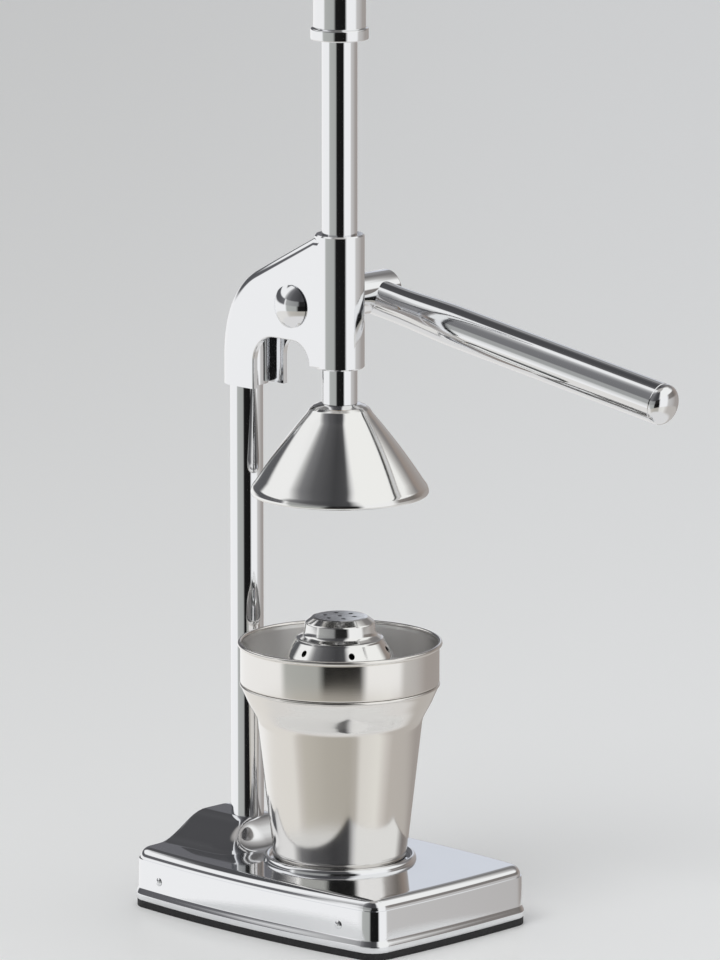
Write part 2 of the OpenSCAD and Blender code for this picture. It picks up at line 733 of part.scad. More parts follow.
// Domed cap screwed on the axle's near end
module axle_cap() {
  cap_r = cap_d / 2;
  dome_h = cap_h - cap_rim;
  dome_r = (cap_r * cap_r + dome_h * dome_h) / (2 * dome_h);
  color(chrome) translate([-cap_x, axle_y, axle_z]) rotate([0, -90, 0]) difference() {
    union() {
      cylinder(h = cap_rim, r = cap_r);
      intersection() {
        translate([0, 0, cap_h - dome_r]) sphere(r = dome_r);
        translate([0, 0, cap_rim]) cylinder(h = cap_h, r = cap_r);
      }
    }
    translate([0, 0, -1]) cylinder(h = cap_h - 3 + 1 + 0.05, r = axle_r + fit_gap);
  }
}

// Dished washer under the cap, in a recess of the head
module spring_washer() {
  t = 0.6;
  rise = 0.9;
  color(steel) translate([-head_half + washer_seat - 0.05, axle_y, axle_z]) rotate([0, -90, 0])
    rotate_extrude()
    polygon([[axle_r + 0.1, rise], [axle_r + 0.1, rise + t], [axle_r + 4, t], [axle_r + 4, 0]]);
}

module thrust_washer() {
  color(bronze) difference() {
    rod_x(head_half + 0.1, hub_x - 0.1, axle_r + 4, axle_y, axle_z);
    rod_x(0, hub_x + 1, axle_r + fit_gap, axle_y, axle_z);
  }
}

module lever_hub() {
  edge = 0.8;
  color(chrome) difference() {
    union() {
      translate([hub_x, axle_y, axle_z]) rotate([0, 90, 0]) rotate_extrude()
        polygon([[0, 0], [hub_r - edge, 0], [hub_r, edge], [hub_r, hub_l - edge], [hub_r - edge, hub_l],
          [0, hub_l]]);
    }
    rod_x(hub_x - 1, axle_end_x + 0.2, axle_r + fit_gap, axle_y, axle_z);
    translate([hub_x + hub_screw_in, axle_y, axle_z - hub_r - 1])
      cylinder(h = hub_r, r = set_screw_r + fit_gap);
  }
}

module hub_set_screw() {
  low = axle_z - hub_r + 0.3;
  color(steel) translate([hub_x + hub_screw_in, axle_y, low]) difference() {
    cylinder(h = hub_r - 0.3 - axle_r + 1, r = set_screw_r);
    translate([0, 0, -1]) cylinder(h = 3.2, r = 1.7, $fn = 6);
  }
}

// Tapered tube, cut to the hub where it meets it
module lever_handle() {
  root_r = lever_root_d / 2;
  grip_r = lever_d / 2;
  end = lever_l - plug_h;
  neck_end = 18;
  flare_l = grip_start - neck_end;
  color(chrome) difference() {
    on_lever() rotate_extrude(convexity = 4) polygon([
      [0, 0], [root_r, 0], [root_r, neck_end], [root_r + 0.45 * (grip_r - root_r), neck_end + 0.37 * flare_l],
      [grip_r - 0.15, neck_end + 0.73 * flare_l],
      [grip_r, grip_start],
      [grip_r, end], [grip_r - handle_wall, end], [grip_r - handle_wall, grip_start],
      [root_r - handle_wall, neck_end + flare_l / 2],
      [root_r - handle_wall, neck_end + 6], [0, neck_end + 6]]);
    rod_x(hub_x - hub_l, hub_x + 2 * hub_l, hub_r + fit_gap, axle_y, axle_z);
  }
}

module handle_end_plug() {
  grip_r = lever_d / 2;
  steps = 6;
  color(chrome) on_lever() translate([0, 0, lever_l - plug_h + 0.05]) rotate_extrude() polygon(concat(
    [[0, -12], [grip_r - handle_wall - fit_gap, -12], [grip_r - handle_wall - fit_gap, 0], [grip_r, 0]],
    [for (k = [0:steps]) let (a = 90 * k / steps) [grip_r * cos(a), plug_h * (0.2 + 0.8 * sin(a))]]));
}

// ---- cup, bowl and reamer ----

// Height of the cup's flared top
cup_flare_h = 24.6;

// Outer line of the cup: [radius, height above its foot]
function cup_line() = let (shoulder = cup_h - cup_flare_h, flare = bowl_r - 0.1 - cup_top_r) [
  [0, 0], [cup_foot_r - 6, 0], [cup_foot_r - 1.6, 0.3], [cup_foot_r - 0.2, 1.8], [cup_top_r, shoulder],
  [cup_top_r + 0.07 * flare, shoulder + 0.09 * cup_flare_h],
  [cup_top_r + 0.25 * flare, shoulder + 0.18 * cup_flare_h],
  [cup_top_r + 0.5 * flare, shoulder + 0.325 * cup_flare_h],
  [cup_top_r + 0.73 * flare, shoulder + 0.505 * cup_flare_h],
  [cup_top_r + 0.89 * flare, shoulder + 0.69 * cup_flare_h],
  [cup_top_r + 0.98 * flare, shoulder + 0.88 * cup_flare_h],
  [cup_top_r + flare, cup_h]];

module juice_cup() {
  bead_r = 0.9;
  color(satin) translate([0, 0, cup_z]) union() {
    turned_shell(cup_line(), cup_wall);
    translate([0, 0, cup_h - bead_r]) rotate_extrude()
      translate([bowl_r - 0.1 - cup_wall / 2, 0]) circle(r = bead_r, $fn = 24);
  }
}

bowl_step_r = bowl_r - 3.4;
bowl_floor_r = bowl_r - 7.6;
drain_r = 1.7;
drain_count = 24;

// The bowl: a band that stands on the cup's rim, and a floor that hangs inside it
module strainer_bowl() {
  bead_r = 1.3;
  color(satin) difference() {
    translate([0, 0, bowl_z]) union() {
      rotate_extrude(convexity = 6) polygon([
        [0, -bowl_drop], [bowl_floor_r, -bowl_drop], [bowl_step_r, -1.5], [bowl_step_r + 0.4, 0],
        [bowl_r, 0], [bowl_r, bowl_h],
        [bowl_r - bowl_wall, bowl_h], [bowl_r - bowl_wall, bowl_wall],
        [bowl_step_r - bowl_wall + 0.2, bowl_wall],
        [bowl_step_r - bowl_wall, bowl_wall - 1], [bowl_floor_r - bowl_wall * 0.6, bowl_wall - bowl_drop],
        [0, bowl_wall - bowl_drop]]);
      translate([0, 0, bowl_h - bead_r]) rotate_extrude()
        translate([bowl_rim_r - bead_r, 0]) circle(r = bead_r, $fn = 24);
    }
    for (k = [0:drain_count - 1]) rotate([0, 0, 360 * k / drain_count])
      translate([bowl_floor_r - 6, 0, bowl_floor_z - 1]) cylinder(h = bowl_wall + 2, r = drain_r, $fn = 24);
    translate([0, 0, bowl_floor_z - 1]) cylinder(h = bowl_wall + 2, r = drain_r * 12);
  }
}

// Outer line of the reamer from its foot to its flat top: [radius, height above the foot]
ledge_z = reamer_h - 12.4;
chamfer_z = reamer_h - 3.6;
hole_z = reamer_h - 18;
function reamer_line() = let (ledge_r = reamer_ledge_r, waist_r = reamer_foot_r - 2.6) [
  [reamer_foot_r, 0], [reamer_foot_r, reamer_wall], [waist_r, 1.8], [waist_r - 0.5, 5],
  [ledge_r + 0.5, ledge_z - 1.2], [ledge_r, ledge_z], [ledge_r - 1, ledge_z + 0.6],
  [reamer_top_r + 5.1, chamfer_z],
  [reamer_top_r + 4.6, chamfer_z + 0.6], [reamer_top_r + 0.8, reamer_h - 0.3],
  [reamer_top_r - 0.4, reamer_h], [0, reamer_h]];

module reamer() {
  hole_r = 1.75;
  top_hole_r = 1.3;
  color(steel) translate([0, 0, reamer_z]) difference() {
    turned_shell(reamer_line(), reamer_wall);
    for (k = [0:reamer_holes - 1]) rotate([0, 0, reamer_turn + 360 * k / reamer_holes])
      translate([0, 0, hole_z]) rotate([0, 90, 0]) cylinder(h = reamer_foot_r, r = hole_r);
    for (k = [0:5]) rotate([0, 0, reamer_turn + 60 * k]) translate([reamer_top_r * 0.57, 0, reamer_h - 3])
      cylinder(h = 5, r = top_hole_r);
    translate([0, 0, reamer_h - 3]) cylinder(h = 5, r = top_hole_r);
  }
}

base_casting();
rubber_pad();
bottom_plate();
plate_screws();
side_rivets();
column_tube();
column_plug();
column_bolt();
column_washer();
head_casting();
column_set_screws();
guide_bush_upper();
guide_bush_lower();
axle_bush_near();
axle_bush_far();
rack_shaft();
top_knob();
knob_set_screw();
press_cone();
cone_washer();
cone_nut();
pinion_axle();
pinion_gear();
pinion_pin();
axle_cap();
spring_washer();
thrust_washer();
lever_hub();
hub_set_screw();
lever_handle();
handle_end_plug();
juice_cup();
strainer_bowl();
reamer();
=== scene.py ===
# %% [markdown]
# # A lever citrus press
# The press comes from its solid model, which is already in place and in metres. This lesson
# dresses it: each big shiny part is built again as a smooth mesh of the same size, every part
# gets the finish it really has, and a small studio is built for the metal to reflect.

# %% Load the solid model
import math
import bmesh
import bpy
import numpy as np
from mathutils import Matrix, Vector


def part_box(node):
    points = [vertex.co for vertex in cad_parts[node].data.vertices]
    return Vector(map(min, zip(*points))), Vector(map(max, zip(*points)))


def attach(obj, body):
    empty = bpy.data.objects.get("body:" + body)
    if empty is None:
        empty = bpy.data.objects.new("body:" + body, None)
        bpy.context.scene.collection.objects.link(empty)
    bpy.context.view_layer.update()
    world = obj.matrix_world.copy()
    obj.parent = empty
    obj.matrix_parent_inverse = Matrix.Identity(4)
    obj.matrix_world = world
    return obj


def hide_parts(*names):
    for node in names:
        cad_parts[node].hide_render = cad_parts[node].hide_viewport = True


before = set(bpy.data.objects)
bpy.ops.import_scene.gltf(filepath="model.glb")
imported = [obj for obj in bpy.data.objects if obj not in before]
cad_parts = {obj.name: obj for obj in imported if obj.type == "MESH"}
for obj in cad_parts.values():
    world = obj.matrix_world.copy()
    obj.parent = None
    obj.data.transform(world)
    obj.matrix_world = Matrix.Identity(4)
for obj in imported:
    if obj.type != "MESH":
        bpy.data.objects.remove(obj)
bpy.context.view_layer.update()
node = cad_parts
MM = 0.001

# %% [markdown]
# ## Camera
# The camera stands at the left front of the press, a little above the level of the bowl. A near
# camera would tilt the upright lines, so it stands five metres away with a long lens: uprights
# stay parallel and circles look like thin ellipses.

# %% Camera
CAMERA_WAY = -46.0  # degrees from the front of the press
azimuth, pitch, distance = math.radians(CAMERA_WAY), math.radians(11.28), 5.0097
look_at = Vector((0.0080, -0.0083, 0.25555))
toward = Vector((math.sin(azimuth) * math.cos(pitch), -math.cos(azimuth) * math.cos(pitch), math.sin(pitch)))
camera = bpy.data.objects.new("camera", bpy.data.cameras.new("camera"))
bpy.context.scene.collection.objects.link(camera)
camera.location = look_at + toward * distance
camera.rotation_euler = (-toward).to_track_quat("-Z", "Y").to_euler()
camera.data.lens, camera.data.sensor_width = 329.9, 36
camera.data.clip_start, camera.data.clip_end = 0.1, 30
bpy.context.scene.camera = camera
bpy.context.scene.view_settings.view_transform = "Standard"
print("camera, in metres:", [round(c, 3) for c in camera.location])

# %% [markdown]
# ## Helpers for materials
# Colours are written as the hex values a paint chart would give and turned to the linear values
# that the renderer works in. One function adds a node, sets it up and links it.

# %% Colour and node helpers
def paint(hex_value):
    """A hex colour as linear red, green, blue and alpha."""
    parts = [int(hex_value[i:i + 2], 16) / 255 for i in (1, 3, 5)]
    return [c / 12.92 if c <= 0.04045 else ((c + 0.055) / 1.055) ** 2.4 for c in parts] + [1.0]


def add(tree, kind, settings=None, **inputs):
    """Adds a node. Settings are its own options; inputs are values, or sockets to link from."""
    made = tree.nodes.new("ShaderNode" + kind)
    for name, value in (settings or {}).items():
        setattr(made, name, value)
    for name, value in inputs.items():
        key = int(name[1:]) if name[0] == "_" and name[1:].isdigit() else name.replace("_", " ")
        if isinstance(value, bpy.types.NodeSocket):
            tree.links.new(value, made.inputs[key])
        else:
            made.inputs[key].default_value = value
    return made


def stops(ramp, *pairs):
    """Sets a colour ramp's stops from (place, hex colour) pairs."""
    while len(ramp.color_ramp.elements) > 1:
        ramp.color_ramp.elements.remove(ramp.color_ramp.elements[0])
    for i, (place, colour) in enumerate(pairs):
        e = ramp.color_ramp.elements[0] if i == 0 else ramp.color_ramp.elements.new(place)
        e.position, e.color = place, paint(colour)
    return ramp


def surface(name, **inputs):
    """A new material: its node tree and its Principled shader, which is linked to the output."""
    m = bpy.data.materials.new(name)
    m.use_nodes = True
    m.node_tree.nodes.clear()
    shader = add(m.node_tree, "BsdfPrincipled", **inputs)
    out = add(m.node_tree, "OutputMaterial")
    m.node_tree.links.new(shader.outputs[0], out.inputs[0])
    return m, m.node_tree, shader


print("the grey of chrome plate, in linear values:", [round(c, 3) for c in paint("#eeeff1")])

# %% [markdown]
# ## Chrome plate
# The base, the gooseneck head, the column, the shaft, the knob and the lever are bright nickel
# and chrome plate over polished metal. Chrome is a mirror with a slightly cool grey tint. What
# tells it from a perfect mirror is a trace of haze where cloths have rubbed it, and the slow
# waves that polishing leaves in a casting. A plain smooth metal would do for a distant view, but
# it looks like liquid close up, so noise in millimetres drives the haze and a very low bump.

# %% Chrome plate
def make_chrome(name, wave_mm, wave_depth):
    """Chrome plate with waves of a given length and depth in millimetres."""
    colour, gloss, haze_mm = "#eeeff1", 0.045, 35
    m, tree, shader = surface(name, Base_Color=paint(colour), Metallic=1.0, Roughness=gloss)
    place = add(tree, "TexCoord").outputs["Object"]
    haze = add(tree, "TexNoise", Vector=place, Scale=1 / (haze_mm * MM), Detail=3.0)
    rough = add(tree, "MapRange", Value=haze.outputs["Fac"], From_Min=0.35, From_Max=0.75,
                To_Min=gloss, To_Max=gloss + 0.035)
    tree.links.new(rough.outputs[0], shader.inputs["Roughness"])
    waves = add(tree, "TexNoise", Vector=place, Scale=1 / (wave_mm * MM), Detail=1.0)
    bump = add(tree, "Bump", Strength=1.0, Distance=wave_depth * MM, Height=waves.outputs["Fac"])
    tree.links.new(bump.outputs[0], shader.inputs["Normal"])
    return m


chrome_cast = make_chrome("chrome_plate_on_polished_casting", 40, 0.05)
chrome_turned = make_chrome("chrome_plate_on_ground_tube", 60, 0.02)
print("chrome:", chrome_cast.name, chrome_turned.name)

# %% [markdown]
# ## Stainless steel
# The press cone and the reamer are spun from stainless sheet and polished on the lathe, so they
# mirror softly and carry very fine rings. The cup and the bowl are less polished and look a
# little warm, and the inside of the bowl is only brushed. Rings about a quarter of a millimetre
# apart stretch every reflection up and down. Rings this fine hardly show, so they are drawn 0.4
# to 0.5 mm apart, and an anisotropic shader whose tangent runs round the axis does the rest.

# %% Spun stainless steel
def make_spun(name, colour, gloss, spread, ring_mm, ring_depth):
    """Sheet spun round the Z axis: spread stretches its reflections along the axis."""
    around_mm, patch_mm = 40, 22
    m, tree, shader = surface(name, Base_Color=paint(colour), Metallic=1.0, Roughness=gloss,
                              Anisotropic=spread, Anisotropic_Rotation=0.25)
    turn = add(tree, "Tangent", {"direction_type": "RADIAL", "axis": "Z"})
    tree.links.new(turn.outputs[0], shader.inputs["Tangent"])
    place = add(tree, "TexCoord").outputs["Object"]
    # noise squeezed to rings: slow round the axis, quick along it
    flat = add(tree, "Mapping", Vector=place,
               Scale=(1 / (around_mm * MM), 1 / (around_mm * MM), 1 / (ring_mm * MM)))
    rings = add(tree, "TexNoise", Vector=flat.outputs[0], Scale=1.0, Detail=2.0)
    patch = add(tree, "TexNoise", Vector=place, Scale=1 / (patch_mm * MM), Detail=3.0)
    rough = add(tree, "MapRange", Value=patch.outputs["Fac"], From_Min=0.3, From_Max=0.75,
                To_Min=gloss * 0.85, To_Max=gloss * 1.2)
    tree.links.new(rough.outputs[0], shader.inputs["Roughness"])
    bump = add(tree, "Bump", Strength=1.0, Distance=ring_depth * MM, Height=rings.outputs["Fac"])
    tree.links.new(bump.outputs[0], shader.inputs["Normal"])
    return m


# gloss, spread, ring distance and ring depth in millimetres
polished_steel = make_spun("polished_spun_stainless", "#eeeeed", 0.1, 0.4, 0.5, 0.002)
satin_steel = make_spun("satin_spun_stainless", "#ebe9e6", 0.11, 0.4, 0.4, 0.002)
brushed_steel = make_spun("brushed_inside_of_the_bowl", "#f3f2f1", 0.34, 0.7, 0.5, 0.006)
print("stainless:", polished_steel.name, satin_steel.name, brushed_steel.name)

# %% [markdown]
# ## Hardware and rubber
# Pinion, axle, washers, nut and bolts are bright machined steel. The socket screws are
# blackened, the bearings are bronze and the foot is a sheet of black rubber, which is matt and
# a little grainy. They differ only in colour, gloss and grain, so one function makes them all.

# %% Hardware and rubber
def make_plain(name, colour, metal, gloss, grain_mm, grain_depth):
    """A surface with an even grain of a given size and depth in millimetres."""
    m, tree, shader = surface(name, Base_Color=paint(colour), Metallic=metal, Roughness=gloss)
    place = add(tree, "TexCoord").outputs["Object"]
    grain = add(tree, "TexNoise", Vector=place, Scale=1 / (grain_mm * MM), Detail=4.0)
    rough = add(tree, "MapRange", Value=grain.outputs["Fac"], From_Min=0.3, From_Max=0.7,
                To_Min=gloss * 0.8, To_Max=min(1.0, gloss * 1.25))
    tree.links.new(rough.outputs[0], shader.inputs["Roughness"])
    bump = add(tree, "Bump", Strength=0.6, Distance=grain_depth * MM, Height=grain.outputs["Fac"])
    tree.links.new(bump.outputs[0], shader.inputs["Normal"])
    return m


machined_steel = make_plain("bright_machined_steel", "#bdbdbf", 1.0, 0.24, 1.2, 0.01)
black_steel = make_plain("blackened_steel", "#3a3a3d", 1.0, 0.38, 0.8, 0.01)
bearing_bronze = make_plain("turned_bearing_bronze", "#c79a55", 1.0, 0.3, 1.0, 0.01)
sheet_rubber = make_plain("black_sheet_rubber", "#1e1e20", 0.0, 0.62, 0.9, 0.05)
print("hardware:", machined_steel.name, black_steel.name, bearing_bronze.name, sheet_rubber.name)

# %% [markdown]
# ## Smooth meshes
# Mirror finishes show every facet, so the large parts are meshed again much more finely. They
# could be subdivided from a rough cage, but turned parts have exact outlines, so an outline of
# radius and height goes round an axis. Corners of an outline are rounded first, because every
# real edge is, and the rounding is what catches a bright line.

# %% Mesh helpers
def rounded(points, steps=5):
    """Rounds the corners of a line of (r, z) or (r, z, radius) points."""
    line = [(p[0], p[1]) for p in points]
    made = []
    for i, p in enumerate(points):
        r = p[2] if len(p) > 2 else 0
        if not r or i in (0, len(points) - 1):
            made.append(Vector(line[i]))
            continue
        here, before, after = Vector(line[i]), Vector(line[i - 1]), Vector(line[i + 1])
        a, b = (before - here), (after - here)
        turn = a.angle(b)
        cut = min(r / math.tan(turn / 2), a.length * 0.49, b.length * 0.49)
        start, end = here + a.normalized() * cut, here + b.normalized() * cut
        for k in range(steps + 1):
            t = k / steps
            made.append(start * (1 - t) ** 2 + here * 2 * t * (1 - t) + end * t * t)
    return [(p.x, p.y) for p in made]


def piece(name, verts, faces, finish, body, slot, nodes=(), place=None, sharp=40):
    """Makes a smooth mesh from points in millimetres, and puts it on its body."""
    mesh = bpy.data.meshes.new(name)
    mesh.from_pydata([Vector(v) * MM for v in verts], [], faces)
    bm = bmesh.new()
    bm.from_mesh(mesh)
    bmesh.ops.recalc_face_normals(bm, faces=bm.faces)
    bm.to_mesh(mesh)
    bm.free()
    if place is not None:
        mesh.transform(place)
    mesh.materials.append(finish)
    finish_mesh(mesh, sharp)
    made = bpy.data.objects.new(name, mesh)
    bpy.context.scene.collection.objects.link(made)
    if body:
        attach(made, body)
        if nodes:
            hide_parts(*nodes)
        print(f"{name}: {len(mesh.polygons)} faces")
    return made


def finish_mesh(mesh, sharp=40):
    """Smooth shading, with the edges sharper than an angle in degrees left crisp."""
    mesh.shade_smooth()
    mesh.set_sharp_from_angle(angle=math.radians(sharp))


def turned(path, count=192, closed=False):
    """Points and faces of a line of (radius, height) turned round the Z axis."""
    verts, rings = [], []
    for r, z in path:
        steps = 1 if r < 1e-6 else count
        rings.append([len(verts) + k for k in range(steps)])
        verts += [(r * math.cos(2 * math.pi * k / count), r * math.sin(2 * math.pi * k / count), z)
                  for k in range(steps)]
    faces = []
    for a, b in zip(rings, rings[1:] + (rings[:1] if closed else [])):
        for k in range(count):
            j = (k + 1) % count
            corners = [a[k % len(a)], a[j % len(a)], b[j % len(b)], b[k % len(b)]]
            corners = list(dict.fromkeys(corners))
            if len(corners) > 2:
                faces.append(corners)
    return verts, faces


def lofted(rings):
    """Points and faces of closed rings with equal counts, joined in order and capped."""
    n = len(rings[0])
    verts = [p for ring in rings for p in ring]
    faces = [[k * n + i, k * n + (i + 1) % n, (k + 1) * n + (i + 1) % n, (k + 1) * n + i]
             for k in range(len(rings) - 1) for i in range(n)]
    faces += [list(range(n)), list(range((len(rings) - 1) * n, len(rings) * n))]
    return verts, faces


def cut_away(made, cutter):
    """Cuts one piece away from another with an exact Boolean, and removes the cutter."""
    mod = made.modifiers.new("cut", "BOOLEAN")
    mod.operation, mod.solver, mod.object = "DIFFERENCE", "EXACT", cutter
    ready = made.evaluated_get(bpy.context.evaluated_depsgraph_get())
    mesh = bpy.data.meshes.new_from_object(ready)
    made.modifiers.clear()
    made.data = mesh
    finish_mesh(mesh)
    bpy.data.objects.remove(cutter)


def rod(name, a, b, radius, count=48):
    """A plain rod between two points, used to cut holes."""
    a, b = Vector(a), Vector(b)
    turn = (b - a).to_track_quat("Z", "Y").to_matrix().to_4x4()
    length = (b - a).length
    shape = turned([(0, 0), (radius, 0), (radius, length), (0, length)], count)
    return piece(name, *shape, machined_steel, None, None, place=Matrix.Translation(a * MM) @ turn)


def block(name, low, high):
    """A plain block between two corners, used to cut openings."""
    (x0, y0, z0), (x1, y1, z1) = low, high
    rings = [[(x0, y0, z), (x1, y0, z), (x1, y1, z), (x0, y1, z)] for z in (z0, z1)]
    return piece(name, *lofted(rings), machined_steel, None, None)


def low_high(name):
    """A node's box in millimetres."""
    low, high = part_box(name)
    return low / MM, high / MM


print("a corner with a 2 mm rounding:", rounded([(0, 0), (10, 0, 2), (10, 10)], 2))

# %% [markdown]
# ## Base
# The base is one casting: a tray shape with a rolled lip at the foot, sides that bow out a
# little, a thin step below the deck, a rounded edge and a hump that rises to the column. A box
# with bevels could give the tray but not the hump, so it is a stack of closed rings. Each ring
# is the outline moved inwards, and the rings of the deck shrink towards the column while the
# hump lifts them. The raised ring that keeps the cup in its place is turned by itself.

# %% Base outline
low, high = low_high("base_casting")
pad_top = low_high("rubber_pad")[1].z
base_front, base_back, base_half_w = -low.y, high.y, high.x
base_mid_y, base_half_l = (base_back - base_front) / 2, (base_back + base_front) / 2
side_bow, end_bow, corner_r = 5.0, 1.5, 13.0
side_lean = math.atan(2 * side_bow / (base_half_l - corner_r))
end_lean = math.atan(2 * end_bow / (base_half_w - corner_r))
corner_x = base_half_w - side_bow - corner_r * math.cos(side_lean)
corner_y = base_half_l - end_bow - corner_r * math.cos(end_lean)


def base_outline(inward):
    """The outline of the base, moved inwards, as points of (x, y)."""
    side_steps, corner_steps, end_steps = 22, 14, 16
    r = corner_r - inward
    side_x, side_y = corner_x + r * math.cos(side_lean), corner_y + r * math.sin(side_lean)
    end_x, end_y = corner_x + r * math.sin(end_lean), corner_y + r * math.cos(end_lean)
    quarter = [(side_x + side_bow * (1 - s * s), side_y * s)
               for s in np.linspace(0, 1, side_steps + 1)[:-1]]
    for a in np.linspace(side_lean, math.pi / 2 - end_lean, corner_steps + 1):
        quarter.append((corner_x + r * math.cos(a), corner_y + r * math.sin(a)))
    quarter += [(end_x * s, end_y + end_bow * (1 - s * s)) for s in np.linspace(1, 0, end_steps + 1)[1:]]
    q = np.array(quarter)
    left_back = q[::-1][1:] * (-1, 1)
    left_front = q[1:] * (-1, -1)
    right_front = q[::-1][1:-1] * (1, -1)
    return np.concatenate([q, left_back, left_front, right_front]) + (0, base_mid_y)


print("points of the outline:", len(base_outline(0)))


# %% Base
column_low, column_high = low_high("column_tube")
column_y = (column_low.y + column_high.y) / 2
deck_z, skirt_z, step_z = 34.2, pad_top, 28.0
hump_h, hump_half_w, hump_flat, hump_ramp = 14.3, 44.0, 8, 24
seat_ring_r, seat_ring_w, seat_ring_h = 44.1, 4.8, 3.2
deck_edge_r, side_inset = 5.4, 1.7
edge_inset = side_inset + 0.8


def ease(t):
    """A smooth step from 0 to 1."""
    t = np.clip(t, 0, 1)
    return t * t * (3 - 2 * t)


def hump(points):
    """Height of the hump over points of the deck."""
    across = ease((hump_half_w - np.abs(points[:, 0])) / (hump_half_w - hump_flat))
    return hump_h * across * ease((points[:, 1] - seat_ring_r) / hump_ramp)


def base_ring(inward, z, lift=0.0):
    """The outline moved inwards at a height, with a share of the hump added."""
    flat = base_outline(inward)
    return np.column_stack([flat, z + lift * hump(flat)]).tolist()


def deck_ring(share):
    """The edge of the deck shrunk towards the column."""
    flat = base_outline(edge_inset + deck_edge_r)
    flat = np.column_stack([flat[:, 0] * share, column_y + (flat[:, 1] - column_y) * share])
    return np.column_stack([flat, deck_z + hump(flat)]).tolist()


# the side as (inset, height, rounding), from the rolled lip up to the step
side = rounded([(0.8, skirt_z), (0.0, skirt_z + 1.4, 0.9), (0.0, skirt_z + 3.8, 1.6),
                (0.8, skirt_z + 5.6, 1.2), (side_inset - 0.3, skirt_z + 7, 2.0), (side_inset, step_z)], 4)
rings = [base_ring(d, z) for d, z in side]
for a in np.linspace(0, math.pi / 2, 10):
    rings.append(base_ring(edge_inset + deck_edge_r * (1 - math.cos(a)),
                           step_z + 0.2 + (deck_z - step_z - 0.2) * math.sin(a), math.sin(a)))
rings += [deck_ring(s) for s in np.linspace(1, 0.02, 60)[1:]]
piece("base", *lofted(rings), chrome_cast, "stand", "chrome", ["base_casting"], sharp=50)
half = seat_ring_w / 2
ring = [(seat_ring_r - half + half * math.cos(a), deck_z + seat_ring_h * math.sin(a))
        for a in np.linspace(0, math.pi, 17)]
ring = [(seat_ring_r, deck_z - 1)] + ring + [(seat_ring_r - seat_ring_w, deck_z - 1)]
piece("seat_ring", *turned(ring, closed=True), chrome_cast, "stand", "chrome")

# %% [markdown]
# ## Column
# A plain chrome tube, clamped in the base by a bolt from below and held in the head by screws.
# Blender's own cylinder would do for its outside. Here its outline runs up the outside and down
# the inside, and turning that closed loop gives the wall as well.

# %% Column
r = (column_high.x - column_low.x) / 2
bore_r = r - 1.6
tube = [(r, column_low.z), (r, column_high.z), (bore_r, column_high.z), (bore_r, column_low.z)]
piece("column", *turned(tube, closed=True), chrome_turned, "stand", "chrome", ["column_tube"],
      place=Matrix.Translation((0, column_y * MM, 0)))

# %% [markdown]
# ## Gooseneck head
# The head is a cast arch, flat on both sides, that curves down over the column. It is hollow
# from below. A solid arch is lofted from its left side to its right side, so its edges can be
# rounded by any radius: small on top, and almost a half circle down the back. Booleans then
# take out the hollow, the bore and the screw holes, as a core and drills do in the foundry.

# %% Head outline
head_low, head_high = low_high("head_casting")
head_half, leg_z, sleeve_top = 14.0, head_low.z, head_high.z
sleeve_z, sleeve_r = leg_z + 18, 14.2
small, large = 0.9, 5.0  # roundings of the arch's edges and of the top edges
head_top_z, crest_y, slope = sleeve_top - 1.5, 8.6, math.radians(28)
back_r, leg_edge = 60.0, head_half - 0.3
leg_back_y = column_y + r + 2.5
leg_front_y = column_y - r - 9.7
bend_y = leg_back_y - back_r
bend_drop = math.tan(slope) * (bend_y + back_r * math.sin(slope) - crest_y)
bend_z = head_top_z - bend_drop - back_r * math.cos(slope)
arch_z, arch_back_r, arch_front_r, arch_front_y = sleeve_z + 14, 16.0, 13.2, sleeve_r - 3.2

# points as (y, z, the way out in y, the way out in z, rounding of the edge)
outline = [(arch_front_y, sleeve_z + 0.8, 0.7, -0.7, small), (0, sleeve_z + 0.8, 0, -1, small),
           (0, head_top_z, -1, 0, small), (crest_y * 0.5, head_top_z, 0, 1, large),
           (crest_y, head_top_z, math.sin(slope / 2), math.cos(slope / 2), large)]
for t in np.linspace(0, 1, 41):
    a = (math.pi / 2 - slope) * (1 - t)
    outline.append((bend_y + back_r * math.cos(a), bend_z + back_r * math.sin(a), math.cos(a), math.sin(a),
                    large + (leg_edge - large) * float(ease(t))))
outline += [(leg_back_y, leg_z, 1, 0, leg_edge), (leg_front_y, leg_z, -1, 0, small)]
for a in np.linspace(0, math.pi / 2, 17):
    outline.append((leg_front_y - arch_back_r + arch_back_r * math.cos(a),
                    arch_z - arch_back_r + arch_back_r * math.sin(a), -math.cos(a), -math.sin(a), small))
for a in np.linspace(math.pi / 2, math.pi, 17)[:-1]:
    outline.append((arch_front_y + arch_front_r + arch_front_r * math.cos(a),
                    arch_z - arch_front_r + arch_front_r * math.sin(a), -math.cos(a), -math.sin(a), small))
print("points of the head's outline:", len(outline))


def head_ring(side, a):
    """One outline of the head, where a goes from the flat side to the roundest part of the edge."""
    made = []
    for y, z, out_y, out_z, edge in outline:
        back = edge * (1 - math.sin(a))
        made.append((side * (head_half - edge * (1 - math.cos(a))), y - back * out_y, z - back * out_z))
    return made


# %% Head
turns = np.linspace(0, math.pi / 2, 11)
rings = [head_ring(1, a) for a in turns] + [head_ring(-1, a) for a in turns[::-1]]
head = piece("head", *lofted(rings), chrome_cast, "stand", "chrome", ["head_casting"])

# %% Core, bore and screw holes
wall, socket_wall, shaft_r, clamp_l = 3.4, 3.1, 10.1, 26
inner_r = back_r - wall
core_top = head_top_z - math.tan(slope) * (shaft_r - crest_y) - wall / math.cos(slope)
core = [(shaft_r, leg_z - 1), (shaft_r, core_top)]
core += [(bend_y + inner_r * math.cos(a), bend_z + inner_r * math.sin(a))
         for a in np.linspace(math.pi / 2 - slope, 0, 31)]
core += [(leg_back_y - wall, leg_z - 1)]
rings = [[(x, y, z) for y, z in core] for x in (wall - head_half, head_half - wall)]
hollow = piece("hollow", *lofted(rings), machined_steel, None, None)
